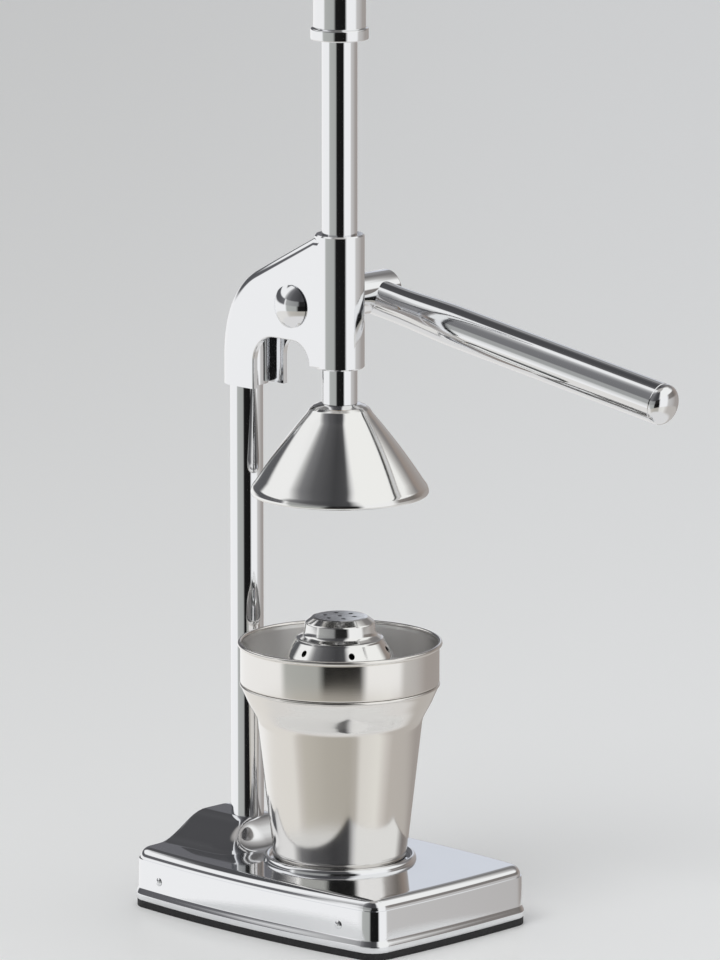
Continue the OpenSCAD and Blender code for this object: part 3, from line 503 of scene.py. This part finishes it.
# the metal round the column's socket stays, and so does everything behind it
below, above, past = leg_z - 5, leg_z + 30, head_half + 1
cut_away(hollow, rod("socket", (0, column_y, below), (0, column_y, above), r + socket_wall, 96))
cut_away(hollow, block("solid_back", (-past, column_y, below), (past, column_y + 30, above)))
cut_away(head, hollow)
bush_seat, bush_l, bore, bush_cover, screw_r = 11.72, 13, 10.5, 0.28, 3.02
cut_away(head, rod("bore", (0, column_y, leg_z - 1), (0, column_y, leg_z + clamp_l), r + 0.02, 96))
cut_away(head, rod("shaft_bore", (0, 0, below), (0, 0, sleeve_top + 5), bush_seat, 96))
for share in (0.28, 0.76):
    z = leg_z + share * clamp_l
    cut_away(head, rod("screw_hole", (0, column_y, z), (head_half + 2, column_y, z), screw_r))
print("head after its core and drills:", len(head.data.polygons), "faces")

# %% [markdown]
# The shaft runs in a guide sleeve at the front of the head, and the axle gets a boss on each
# side. On the real press they belong to the same casting. A Boolean union could join them to
# it, but it would break the smooth shading where they meet, so they stay pieces of their own
# that reach into the head. The sleeve is turned, with a seat for a bush at each end and a thin
# cover over the upper one, and a window in its back lets the pinion reach the rack.

# %% Sleeve and axle bosses
bevel, cover_r = 0.8, shaft_r + 0.1
sleeve = [(bush_seat, sleeve_z), (sleeve_r - bevel, sleeve_z), (sleeve_r, sleeve_z + bevel),
          (sleeve_r, sleeve_top - bevel), (sleeve_r - bevel, sleeve_top), (cover_r, sleeve_top),
          (cover_r, sleeve_top - bush_cover), (bush_seat, sleeve_top - bush_cover),
          (bush_seat, sleeve_top - bush_l), (bore, sleeve_top - bush_l),
          (bore, sleeve_z + bush_l), (bush_seat, sleeve_z + bush_l)]
sleeve_piece = piece("shaft_sleeve", *turned(sleeve, closed=True), chrome_cast, "stand", "chrome")
axle_low, axle_high = low_high("pinion_axle")
axle_y, axle_z = (axle_low.y + axle_high.y) / 2, (axle_low.z + axle_high.z) / 2
rack_half_w, window_half_h = 4.8, 20.2
cut_away(sleeve_piece, block("window", (-rack_half_w, 0, axle_z - window_half_h),
                             (rack_half_w, 20, axle_z + window_half_h)))
boss_r, boss_bore, boss_from, boss_to = 12.4, 8.0, 5.5, 11.5
boss_line = [(boss_bore, boss_from), (boss_r - bevel, boss_from), (boss_r, boss_from + bevel),
             (boss_r, boss_to), (boss_bore, boss_to)]
for side in (-1, 1):
    boss = turned(boss_line, 96, closed=True)
    turn = Matrix.Translation(Vector((0, axle_y, axle_z)) * MM) @ Matrix.Rotation(side * math.pi / 2, 4, "Y")
    piece("axle_boss_" + ("far" if side > 0 else "near"), *boss, chrome_cast, "stand", "chrome", place=turn)

# %% [markdown]
# ## Shaft, knob and cone
# The shaft is a ground chrome rod. Its back is cut as a rack: a row of spaces one circular
# pitch apart, which is pi times the module. The teeth could be drawn one by one, but cutting
# the spaces is what the workshop does, and it leaves the rod's roundness alone. One Boolean
# with all the cutters joined together is quicker and cleaner than one for each tooth.

# %% Shaft with its rack
shaft_low, shaft_high = low_high("rack_shaft")
cone_low, cone_high = low_high("press_cone")
stud_r, stud_top = 5, cone_high.z + 0.1  # the thin end that goes through the cone
shaft_path = [(0, shaft_low.z), (stud_r, shaft_low.z), (stud_r, stud_top), (shaft_r, stud_top),
              (shaft_r, shaft_high.z), (0, shaft_high.z)]
shaft = piece("shaft", *turned(shaft_path), chrome_turned, "press", "chrome", ["rack_shaft"])
module, pressure, backlash = 2.0, math.radians(20), 0.16
pitch, rack_y = math.pi * module, shaft_r + 0.05 - 1.95  # the pitch line, under the surface
root, past_tip = 1.25 * module, 1.6 * module
half, lean = pitch / 4 + backlash / 2, math.tan(pressure)
low_half, high_half, y0, y1 = half - root * lean, half + past_tip * lean, rack_y - root, rack_y + past_tip
spaces_below, spaces_above = 5, 20
verts, faces = [], []
for k in range(-spaces_below, spaces_above + 1):
    z = axle_z + k * pitch
    gap = [[(x, y0, z - low_half), (x, y1, z - high_half), (x, y1, z + high_half), (x, y0, z + low_half)]
           for x in (-rack_half_w, rack_half_w)]
    v, f = lofted(gap)
    faces += [[i + len(verts) for i in face] for face in f]
    verts += v
cut_away(shaft, piece("rack_spaces", verts, faces, machined_steel, None, None))
print("rack pitch in millimetres:", round(pitch, 3))

# %% [markdown]
# The knob on top is turned from bar, with a collar at its foot and a soft dome. It could be a
# cylinder with bevels, but an outline sets each radius by itself, and the large one at the top
# is what bends the reflected room into a small bright cap.

# %% Knob
knob_low, knob_high = low_high("top_knob")
knob_foot, knob_r, dome_edge, collar_r, collar_h, socket_l = knob_low.z, 14.9, 7.5, 16.5, 6.2, 22
socket_r, socket_top, collar_top = shaft_r + 0.02, knob_foot + socket_l, knob_foot + collar_h
knob_path = rounded([(0, socket_top), (socket_r, socket_top), (socket_r, knob_foot),
                     (collar_r, knob_foot, 0.9), (collar_r, collar_top, 1.0), (knob_r, collar_top + 0.8, 0.5),
                     (knob_r, knob_high.z, dome_edge), (0, knob_high.z)], 10)
knob = piece("knob", *turned(knob_path), chrome_turned, "press", "chrome", ["top_knob"])
small_screw_r, screw_z = 2.02, knob_foot + 3.5
cut_away(knob, rod("knob_screw_hole", (0, 0, screw_z), (collar_r + 2, 0, screw_z), small_screw_r))

# %% [markdown]
# The cone is a spun steel shell a little over a millimetre thick, which pushes the fruit onto
# the reamer. A straight cone would mirror one even stripe. The real side bulges slightly and its
# lip is turned in, so a thin bright line runs round its foot. The outside is therefore drawn as
# a line, and the inside is the same line moved in by the thickness of the sheet.

# %% Press cone
cone_r, cone_h, shell = cone_high.x, cone_high.z - cone_low.z, 1.3
foot, neck, bulge = Vector((cone_r - 2.4, 6.6)), Vector((18.9, cone_h - 6)), 0.8
out = Vector((neck.y - foot.y, foot.x - neck.x)).normalized()
cone_side = [foot.lerp(neck, t) + out * bulge * 4 * t * (1 - t) for t in np.linspace(0, 1, 15)]
cone_line = rounded([(cone_r - 1.2, 0), (cone_r - 0.6, 0, 0.6), (cone_r, 0.9, 0.8), (cone_r, 2, 2),
                     (cone_r - 0.7, 4.4, 6), tuple(cone_side[0])], 4)[:-1]
cone_line += [(p.x, p.y) for p in cone_side]
cone_line += rounded([tuple(cone_side[-1]), (17.2, cone_h - 3.2, 2), (15.2, cone_h - 1.6, 2),
                      (12.2, cone_h - 0.4, 2), (10, cone_h, 1), (stud_r + 0.02, cone_h)], 4)[1:]


def inset(path, t):
    """The same line moved sideways by t."""
    p = np.array([tuple(q) for q in path])
    d = np.vstack([p[1] - p[0], p[2:] - p[:-2], p[-1] - p[-2]])
    d /= np.linalg.norm(d, axis=1)[:, None]
    q = p + t * np.column_stack([-d[:, 1], d[:, 0]])
    return [(max(0.0, float(x)), float(z)) for x, z in q]


def lifted(path, z):
    """The same line moved up by z."""
    return [(q[0], q[1] + z) for q in path]


shell_path = cone_line + inset(cone_line, shell)[::-1]
piece("cone", *turned(lifted(shell_path, cone_low.z), 256, closed=True), polished_steel, "press",
      "polished_steel", ["press_cone"])

# %% [markdown]
# ## Lever
# The hub is a turned chrome sleeve on the axle. The lever is a tube that leaves it square,
# swells to the grip and ends in a domed plug. A curve with a bevel could make it too, but its
# ends and the swell would be hard to set to size. Its axis leans down and outwards, so the tube
# is turned upright and then laid along that direction.

# %% Lever
def along(start, direction):
    """The placement that lays +Z along a direction, from a point in millimetres."""
    turn = Vector(direction).to_track_quat("Z", "Y").to_matrix().to_4x4()
    return Matrix.Translation(Vector(start) * MM) @ turn


hub_low, hub_high = low_high("lever_hub")
hub_x, hub_l, hub_r = hub_low.x, hub_high.x - hub_low.x, (hub_high.z - hub_low.z) / 2
hub_path = rounded([(0, 0), (hub_r, 0, 1.0), (hub_r, hub_l, 1.0), (0, hub_l)])
hub = piece("hub", *turned(hub_path), chrome_turned, "lever", "chrome", ["lever_hub"],
            place=along((hub_x, axle_y, axle_z), (1, 0, 0)))
screw_x = hub_x + 12
cut_away(hub, rod("hub_screw_hole", (screw_x, axle_y, axle_z - hub_r - 2), (screw_x, axle_y, axle_z - 7),
                  screw_r))

# %% Handle and its plug
drop, splay, lever_x, lever_sink = math.radians(11.3), math.radians(7), 52.5, 1.7
lever_l, root_r, grip_r, root_l, swell_l = 215.0, 10.4, 11.8, 18, 44
plug_h, plug_seat, tube_wall, edge = 9.0, 13, 2, 0.3
lever_way = Vector((math.sin(splay) * math.cos(drop), -math.cos(splay) * math.cos(drop), -math.sin(drop)))
lever_start = Vector((lever_x, axle_y, axle_z - lever_sink))
end, tube_r, plug_r = lever_l - plug_h, grip_r - tube_wall, grip_r - tube_wall - 0.05
handle_path = [(0, 3), (root_r, 3), (root_r, root_l)]
handle_path += [(root_r + (grip_r - root_r) * float(ease(t)), root_l + swell_l * t)
                for t in np.linspace(0, 1, 13)[1:]]
handle_path += [(grip_r, end - edge), (grip_r - edge, end), (tube_r, end), (tube_r, end - plug_seat),
                (0, end - plug_seat)]
piece("handle", *turned(handle_path), chrome_turned, "lever", "chrome", ["lever_handle"],
      place=along(lever_start, lever_way))
seam = end + 0.05
plug_path = [(0, end - 12), (plug_r, end - 12), (plug_r, seam), (grip_r - edge, seam), (grip_r, seam + edge)]
plug_path += [(grip_r * math.cos(a), seam + plug_h * (0.2 + 0.8 * math.sin(a)))
              for a in np.linspace(0, math.pi / 2, 15)]
piece("end_plug", *turned(plug_path), chrome_turned, "lever", "chrome", ["handle_end_plug"],
      place=along(lever_start, lever_way))

# %% [markdown]
# The near end of the axle is closed by a low cap. A squashed sphere would have the wrong edge,
# so its outline is a true arc, with the radius that fits the cap's width and height.

# %% Cap of the axle
cap_low, cap_high = low_high("axle_cap")
cap_r, cap_h = (cap_high.z - cap_low.z) / 2, cap_high.x - cap_low.x
rim_h, axle_hole_r, axle_hole_h = 0.8, 7.02, 0.6
dome_h = cap_h - rim_h
dome_r = (cap_r * cap_r + dome_h * dome_h) / (2 * dome_h)
cap_path = [(0, axle_hole_h), (axle_hole_r, axle_hole_h), (axle_hole_r, 0), (cap_r - 0.2, 0), (cap_r, 0.2),
            (cap_r, 0.7)]
for a in np.linspace(math.asin(cap_r / dome_r), 0, 17):
    cap_path.append((dome_r * math.sin(a), rim_h + dome_h - dome_r * (1 - math.cos(a))))
piece("cap", *turned(cap_path), chrome_turned, "lever", "chrome", ["axle_cap"],
      place=along((cap_high.x, axle_y, axle_z), (-1, 0, 0)))

# %% [markdown]
# ## Cup
# The cup is a deep-drawn steel beaker that takes the juice. Its wall leans out, then flares at
# a shoulder to a wide rim with a small bead, so that the bowl can stand on it. The flare decides
# the look, because it gathers light and dark into thin bands, so its curve is set by shares of
# its width and height, and each corner of that line is rounded by a large radius.

# %% Cup
cup_low, cup_high = low_high("juice_cup")
cup_h, cup_foot, cup_top, cup_rim, flare_h = cup_high.z - cup_low.z, 38.4, 47.0, 56.9, 24.6
shoulder, flare = cup_h - flare_h, cup_rim - cup_top
# the flare as shares of its width and its height
curve = [(0.03, 0.105), (0.1, 0.203), (0.27, 0.333), (0.56, 0.545), (0.77, 0.74), (0.93, 0.882)]
cup_line = rounded([(0, 0), (cup_foot - 6, 0, 2), (cup_foot - 0.4, 0, 2.2), (cup_top, shoulder, 40)]
                   + [(cup_top + a * flare, shoulder + b * flare_h, 40) for a, b in curve]
                   + [(cup_rim, cup_h - 0.9)], 6)
cup_wall = 1.0
cup_path = cup_line + inset(cup_line, cup_wall)[::-1]
piece("cup", *turned(lifted(cup_path, cup_low.z), 256), satin_steel, "cup", "satin_steel", ["juice_cup"])


def bead(centre_r, top_z, radius, steps):
    """A rolled bead: a small circle turned round the axis, whose top is at a height."""
    circle = [(centre_r + radius * math.cos(a), top_z - radius + radius * math.sin(a))
              for a in np.linspace(0, 2 * math.pi, steps + 1)[:-1]]
    return turned(circle, 256, closed=True)


piece("cup_bead", *bead(cup_rim - 0.5, cup_high.z, 0.9, 16), satin_steel, "cup", "satin_steel")

# %% [markdown]
# ## Strainer bowl
# The bowl is a straight band with a rolled rim and a floor that hangs inside the cup. Small
# holes drain it. An image could fake them, but juice and light go through them, so they are
# drilled. The inside is brushed and looks paler than the outside. Both belong to one sheet, so
# the finish is chosen face by face: those that look inwards or up are brushed.

# %% Strainer bowl
bowl_low, bowl_high = low_high("strainer_bowl")
bowl_drop, bowl_r, bowl_rim, rim_r, wall, centre_hole_r = 7.6, 57.0, bowl_high.x, 1.3, 1.0, 20.4
band_z, bowl_h = bowl_low.z + bowl_drop, bowl_high.z - bowl_low.z - bowl_drop
floor_r, step_r = bowl_r - 7.6, bowl_r - 3.4
bowl_path = rounded([(centre_hole_r, -bowl_drop), (floor_r, -bowl_drop, 1.5), (step_r, -1.5, 1.5),
                     (step_r + 0.4, 0, 0.4), (bowl_r, 0, 1.2), (bowl_r, bowl_h - 3.2, 2),
                     (bowl_rim - rim_r, bowl_h - 1.0), (bowl_rim - rim_r - 1, bowl_h - 1.0),
                     (bowl_r - wall, bowl_h - 3.6, 2), (bowl_r - wall, wall, 0.8),
                     (step_r - wall + 0.2, wall, 0.8), (floor_r - 0.6, wall - bowl_drop, 1),
                     (centre_hole_r, wall - bowl_drop)], 4)
bowl = piece("bowl", *turned(lifted(bowl_path, band_z), 256, closed=True), satin_steel, "bowl",
             "satin_steel", ["strainer_bowl"])
piece("bowl_rim", *bead(bowl_rim - rim_r, bowl_high.z, rim_r, 20), satin_steel, "bowl", "satin_steel")


def drills(name, holes, radius):
    """Rods between pairs of points, joined as one cutter."""
    made = [rod(name, a, b, radius, 24) for a, b in holes]
    bm = bmesh.new()
    for o in made:
        bm.from_mesh(o.data)
    bm.to_mesh(made[0].data)
    bm.free()
    for o in made[1:]:
        bpy.data.objects.remove(o)
    return made[0]


drain_ring_r, drain_r, drain_count = 43.4, 1.7, 24
spots = [(drain_ring_r * math.cos(a), drain_ring_r * math.sin(a))
         for a in np.linspace(0, 2 * math.pi, drain_count + 1)[:-1]]
cut_away(bowl, drills("drain_holes", [((x, y, bowl_low.z - 2), (x, y, bowl_low.z + 4)) for x, y in spots],
                      drain_r))

# %% Brushed inside of the bowl
bowl.data.materials.append(brushed_steel)
for face in bowl.data.polygons:
    inward = face.normal.x * face.center.x + face.normal.y * face.center.y < 0
    if inward or face.normal.z > 0.7:
        face.material_index = 1
brushed = sum(face.material_index for face in bowl.data.polygons)
print("brushed faces of the bowl:", brushed, "of", len(bowl.data.polygons))

# %% [markdown]
# ## Reamer
# The reamer is a stepped dome of polished steel that stands on the bowl's floor over the large
# hole. It is pressed from sheet, so its inside follows its outside, and its holes let the juice
# fall. A dome cut from a sphere would miss the two ledges that mirror the bowl, so it is turned
# from an outline as well, and drilled.

# %% Reamer
ream_low, ream_high = low_high("reamer")
ream_h, foot_r, top_r, ledge_r, shell = ream_high.z - ream_low.z, 36.0, 15.2, 25.0, 1.2
waist, ledge_z, chamfer_z, flare_slope = foot_r - 2.6, ream_h - 12.4, ream_h - 3.6, 0.65
flare_z = ledge_z - 1.2 - (waist - ledge_r - 1) / flare_slope
ream_line = rounded([(foot_r, 0), (foot_r, 1.2, 0.4), (waist, 1.8, 1.5), (waist - 0.6, flare_z, 16),
                     (ledge_r + 0.4, ledge_z - 1.2, 1.0), (ledge_r, ledge_z, 0.6),
                     (ledge_r - 1.2, ledge_z + 0.5, 1.2), (top_r + 6, ledge_z + 2.2, 3),
                     (top_r + 5.4, ledge_z + 4.4, 8), (top_r + 4.8, chamfer_z, 0.8),
                     (top_r + 4.3, chamfer_z + 0.6, 0.8), (top_r + 0.8, ream_h - 0.3, 1.0),
                     (top_r - 0.8, ream_h, 0.8), (0, ream_h)], 5)
ream_path = ream_line + inset(ream_line, shell)[::-1]
reamer = piece("reamer_dome", *turned(lifted(ream_path, ream_low.z), 256, closed=True), polished_steel,
               "bowl", "polished_steel", ["reamer"])

# %% Holes of the reamer
side_hole_r, top_hole_r, top_ring_r, drill_l = 1.75, 1.3, 8.7, 40
first, side_z, top_z = math.radians(58), ream_low.z + ream_h - 18, ream_high.z
ways = [(math.cos(a), math.sin(a)) for a in (first + k * math.pi / 3 for k in range(6))]
sides = [((0, 0, side_z), (drill_l * x, drill_l * y, side_z)) for x, y in ways]
tops = [(top_ring_r * x, top_ring_r * y) for x, y in ways] + [(0, 0)]
cut_away(reamer, drills("side_holes", sides, side_hole_r))
cut_away(reamer, drills("top_holes", [((x, y, top_z - 3), (x, y, top_z + 3)) for x, y in tops], top_hole_r))
print("reamer with its holes:", len(reamer.data.polygons), "faces")

# %% [markdown]
# ## Small parts
# Screws, washers, bushes, the gear on its axle and the rubber foot show little, and most of
# them sit inside others. They could be modelled again as well, but their solid meshes are
# already true to size, so they keep them and only get their finish.

# %% Finishes of the small parts
small_parts = {
    sheet_rubber: ["rubber_pad"],
    chrome_turned: ["side_rivets"],
    machined_steel: ["bottom_plate", "plate_screws", "column_plug", "column_bolt", "column_washer",
                     "cone_washer", "cone_nut", "pinion_axle", "pinion_gear", "pinion_pin", "spring_washer"],
    black_steel: ["column_set_screws", "knob_set_screw", "hub_set_screw"],
    bearing_bronze: ["guide_bush_upper", "guide_bush_lower", "axle_bush_near", "axle_bush_far",
                     "thrust_washer"]}
for finish, names in small_parts.items():
    for name in names:
        node[name].data.materials.clear()
        node[name].data.materials.append(finish)
        finish_mesh(node[name].data, sharp=35)
finished = sum(small_parts.values(), [])
left = [n for n, o in node.items() if n not in finished and not o.hide_render]
print("solid parts still without a finish:", left)

# %% [markdown]
# ## Floor
# The press stands on a pale, matt table top. It takes the soft shadow and a weak reflection of
# the foot. For the metal it ends a little way beyond the base: the shader turns clear for the rays
# that come from a reflection, so that upright tubes mirror the room below the edge of the table and
# the metal further out mirrors the sky's band of the table top, whose lighter and darker sectors are
# painted light and shade. A small plane could do that too, but its edge would show.

# %% Floor
# in reflections, the table starts to fade at the first distance and has gone at the second
table_end, table_gone = 140, 155
floor_paint, tree, shader = surface("matt_pale_table_top", Base_Color=paint("#f4f5f5"), Roughness=0.38)
shader.inputs["Specular IOR Level"].default_value = 0.35
out = next(n for n in tree.nodes if n.type == "OUTPUT_MATERIAL")
place = add(tree, "NewGeometry").outputs["Position"]
reach = add(tree, "VectorMath", {"operation": "LENGTH"}, _0=place)
beyond = add(tree, "MapRange", Value=reach.outputs["Value"], From_Min=table_end * MM,
             From_Max=table_gone * MM)
ray = add(tree, "LightPath")
gone = add(tree, "Math", {"operation": "MULTIPLY"}, _0=beyond.outputs[0], _1=ray.outputs["Is Glossy Ray"])
clear = add(tree, "BsdfTransparent")
mixed = add(tree, "MixShader", _0=gone.outputs[0], _1=shader.outputs[0], _2=clear.outputs[0])
tree.links.new(mixed.outputs[0], out.inputs[0])
floor_radius = 9000.0
floor = piece("floor", *turned([(0, 0), (floor_radius, 0)], 96), floor_paint, None, None)
print("floor, in millimetres across:", 2 * floor_radius)

# %% [markdown]
# ## Studio
# Polished metal has no look of its own: it shows its surroundings. Real soft boxes and cloths
# could stand round the press, but they would light it too, and moving one would change
# everything. The surroundings here are therefore a sky that only reflections see, painted by
# direction as five bands, one above the other: the table top with painted light and shade, white
# soft boxes, grey cloths and one black cloth near the camera. Everything else is lit evenly by a
# plain pale sky and one large soft lamp.

# %% Studio
world = bpy.data.worlds.new("studio")
bpy.context.scene.world = world
world.use_nodes = True
world.cycles.sampling_method = "NONE"
tree = world.node_tree
tree.nodes.clear()
way = add(tree, "TexCoord").outputs["Generated"]
# turned so that the camera stands at the middle of the ramps
facing = add(tree, "Mapping", Vector=way, Rotation=(0, 0, math.radians(90 - CAMERA_WAY)))
around = add(tree, "TexGradient", {"gradient_type": "RADIAL"}, Vector=facing.outputs[0])
height = add(tree, "SeparateXYZ", Vector=way).outputs["Z"]


def sky_band(*pairs):
    """A colour ramp round the horizon, in degrees: 0 is at the camera and + is to its right."""
    ramp = add(tree, "ValToRGB", Fac=around.outputs["Fac"])
    return stops(ramp, *[(a / 360 + 0.5, c) for a, c in pairs]).outputs[0]


def blend_up(from_deg, to_deg, below, above):
    """Mixes two colours by the height of the direction above the horizon, in degrees."""
    share = add(tree, "MapRange", {"interpolation_type": "SMOOTHSTEP"}, Value=height,
                From_Min=math.sin(math.radians(from_deg)), From_Max=math.sin(math.radians(to_deg)))
    return add(tree, "Mix", {"data_type": "RGBA"}, _0=share.outputs[0], _6=below, _7=above).outputs[2]


print("nodes of the sky so far:", len(tree.nodes))

# %% Bands of the sky
# the table top as the metal mirrors it past the floor's edge: its lighter and darker sectors are painted
# light and shade on the table, not its colour
table_light_and_shade_band = sky_band((-180, "#eceae7"), (-74, "#eae8e4"), (-64, "#d2cec9"), (-54, "#c6c2ba"),
                      (-20, "#bab6ae"), (14, "#b6b2aa"), (24, "#bebab4"), (32, "#e4e2de"),
                      (60, "#ecebe6"), (72, "#d6d2ce"), (84, "#c2bdb8"), (180, "#bebab6"))
low_band = sky_band((-180, "#fbfbfb"), (-74, "#fbfbfb"), (-66, "#b5b7b4"), (-26, "#aeb0ad"),
                    (-17, "#1c1c1c"), (24, "#161616"), (33, "#fcfcfc"), (73, "#fafafa"),
                    (82, "#cac8c6"), (100, "#bfbcba"), (120, "#a8a29e"), (176, "#a39d99"))
back_band = sky_band((-180, "#6c6c70"), (-130, "#58595c"), (-104, "#626265"), (-82, "#6c6c6f"),
                     (-76, "#fbfbfb"), (-70, "#a8a9a8"), (-20, "#8e8f8f"), (-12, "#2a2a2a"),
                     (22, "#242424"), (32, "#fcfcfc"), (74, "#fafafa"), (84, "#8a8582"),
                     (112, "#77726e"), (136, "#9a8f88"), (160, "#a8a4a2"), (174, "#d8dce4"),
                     (180, "#d8dce4"))
high_band = sky_band((-180, "#4c4c4e"), (-150, "#58585a"), (-142, "#fafafa"), (-90, "#fcfcfc"),
                     (-80, "#b4b4b4"), (-72, "#808082"), (-50, "#5e5e60"), (-10, "#444446"),
                     (14, "#4c4c4e"), (24, "#e0e0e0"), (30, "#fcfcfa"), (112, "#fcfcfa"),
                     (122, "#c2c0be"), (132, "#8a8786"), (156, "#7c7a79"), (180, "#a0a0a2"))
top_band = sky_band((-180, "#4c4c4e"), (-122, "#505052"), (-112, "#f8f8f8"), (-90, "#f8f8f8"),
                    (-80, "#b4b4b4"), (-72, "#808082"), (-50, "#5e5e60"), (-10, "#444446"),
                    (14, "#4c4c4e"), (24, "#e0e0e0"), (30, "#fcfcfa"), (120, "#fcfcfa"),
                    (132, "#b8b6b4"), (156, "#6c6a69"), (180, "#606062"))
under_table, zenith = paint("#e4e3e2"), paint("#b4b1ae")
sky = blend_up(-44, -34, under_table, table_light_and_shade_band)
for from_deg, to_deg, above in ((-21, -17, low_band), (-2, 4, back_band), (17, 22, high_band),
                                (38, 44, top_band), (68, 80, zenith)):
    sky = blend_up(from_deg, to_deg, sky, above)
print("nodes of the sky:", len(tree.nodes))

# %% [markdown]
# Light Path tells which kind of ray asks for the sky. The camera gets the white of the
# backdrop, reflections get the painted studio, and all other light is even and a little grey.

# %% Sky for each kind of ray
backdrop, even_light = paint("#f2f2f1"), paint("#dcdcdc")
ray = add(tree, "LightPath")
seen = add(tree, "Mix", {"data_type": "RGBA"}, _0=ray.outputs["Is Glossy Ray"], _6=even_light, _7=sky)
shown = add(tree, "Mix", {"data_type": "RGBA"}, _0=ray.outputs["Is Camera Ray"], _6=seen.outputs[2],
            _7=backdrop)
light = add(tree, "Background", Color=shown.outputs[2], Strength=1.0)
add(tree, "OutputWorld", _0=light.outputs[0])
print("backdrop, in linear values:", [round(c, 3) for c in backdrop])

# %% [markdown]
# One large soft lamp stands to the left and gives the faint shadow on the table. The even sky
# alone would leave the press floating. Reflections don't see the lamp, because the sky already
# has its soft boxes.

# %% Lamp
lamp = bpy.data.objects.new("soft_lamp", bpy.data.lights.new("soft_lamp", "AREA"))
bpy.context.scene.collection.objects.link(lamp)
lamp.data.shape, lamp.data.size, lamp.data.energy = "DISK", 1.6, 22
lamp.location, lamp_aim = (-1.6, -0.2, 2.4), Vector((0, 0, 0.2))
lamp.rotation_euler = (lamp_aim - lamp.location).to_track_quat("-Z", "Y").to_euler()
lamp.visible_glossy = False
print("lamp, in watts:", lamp.data.energy)
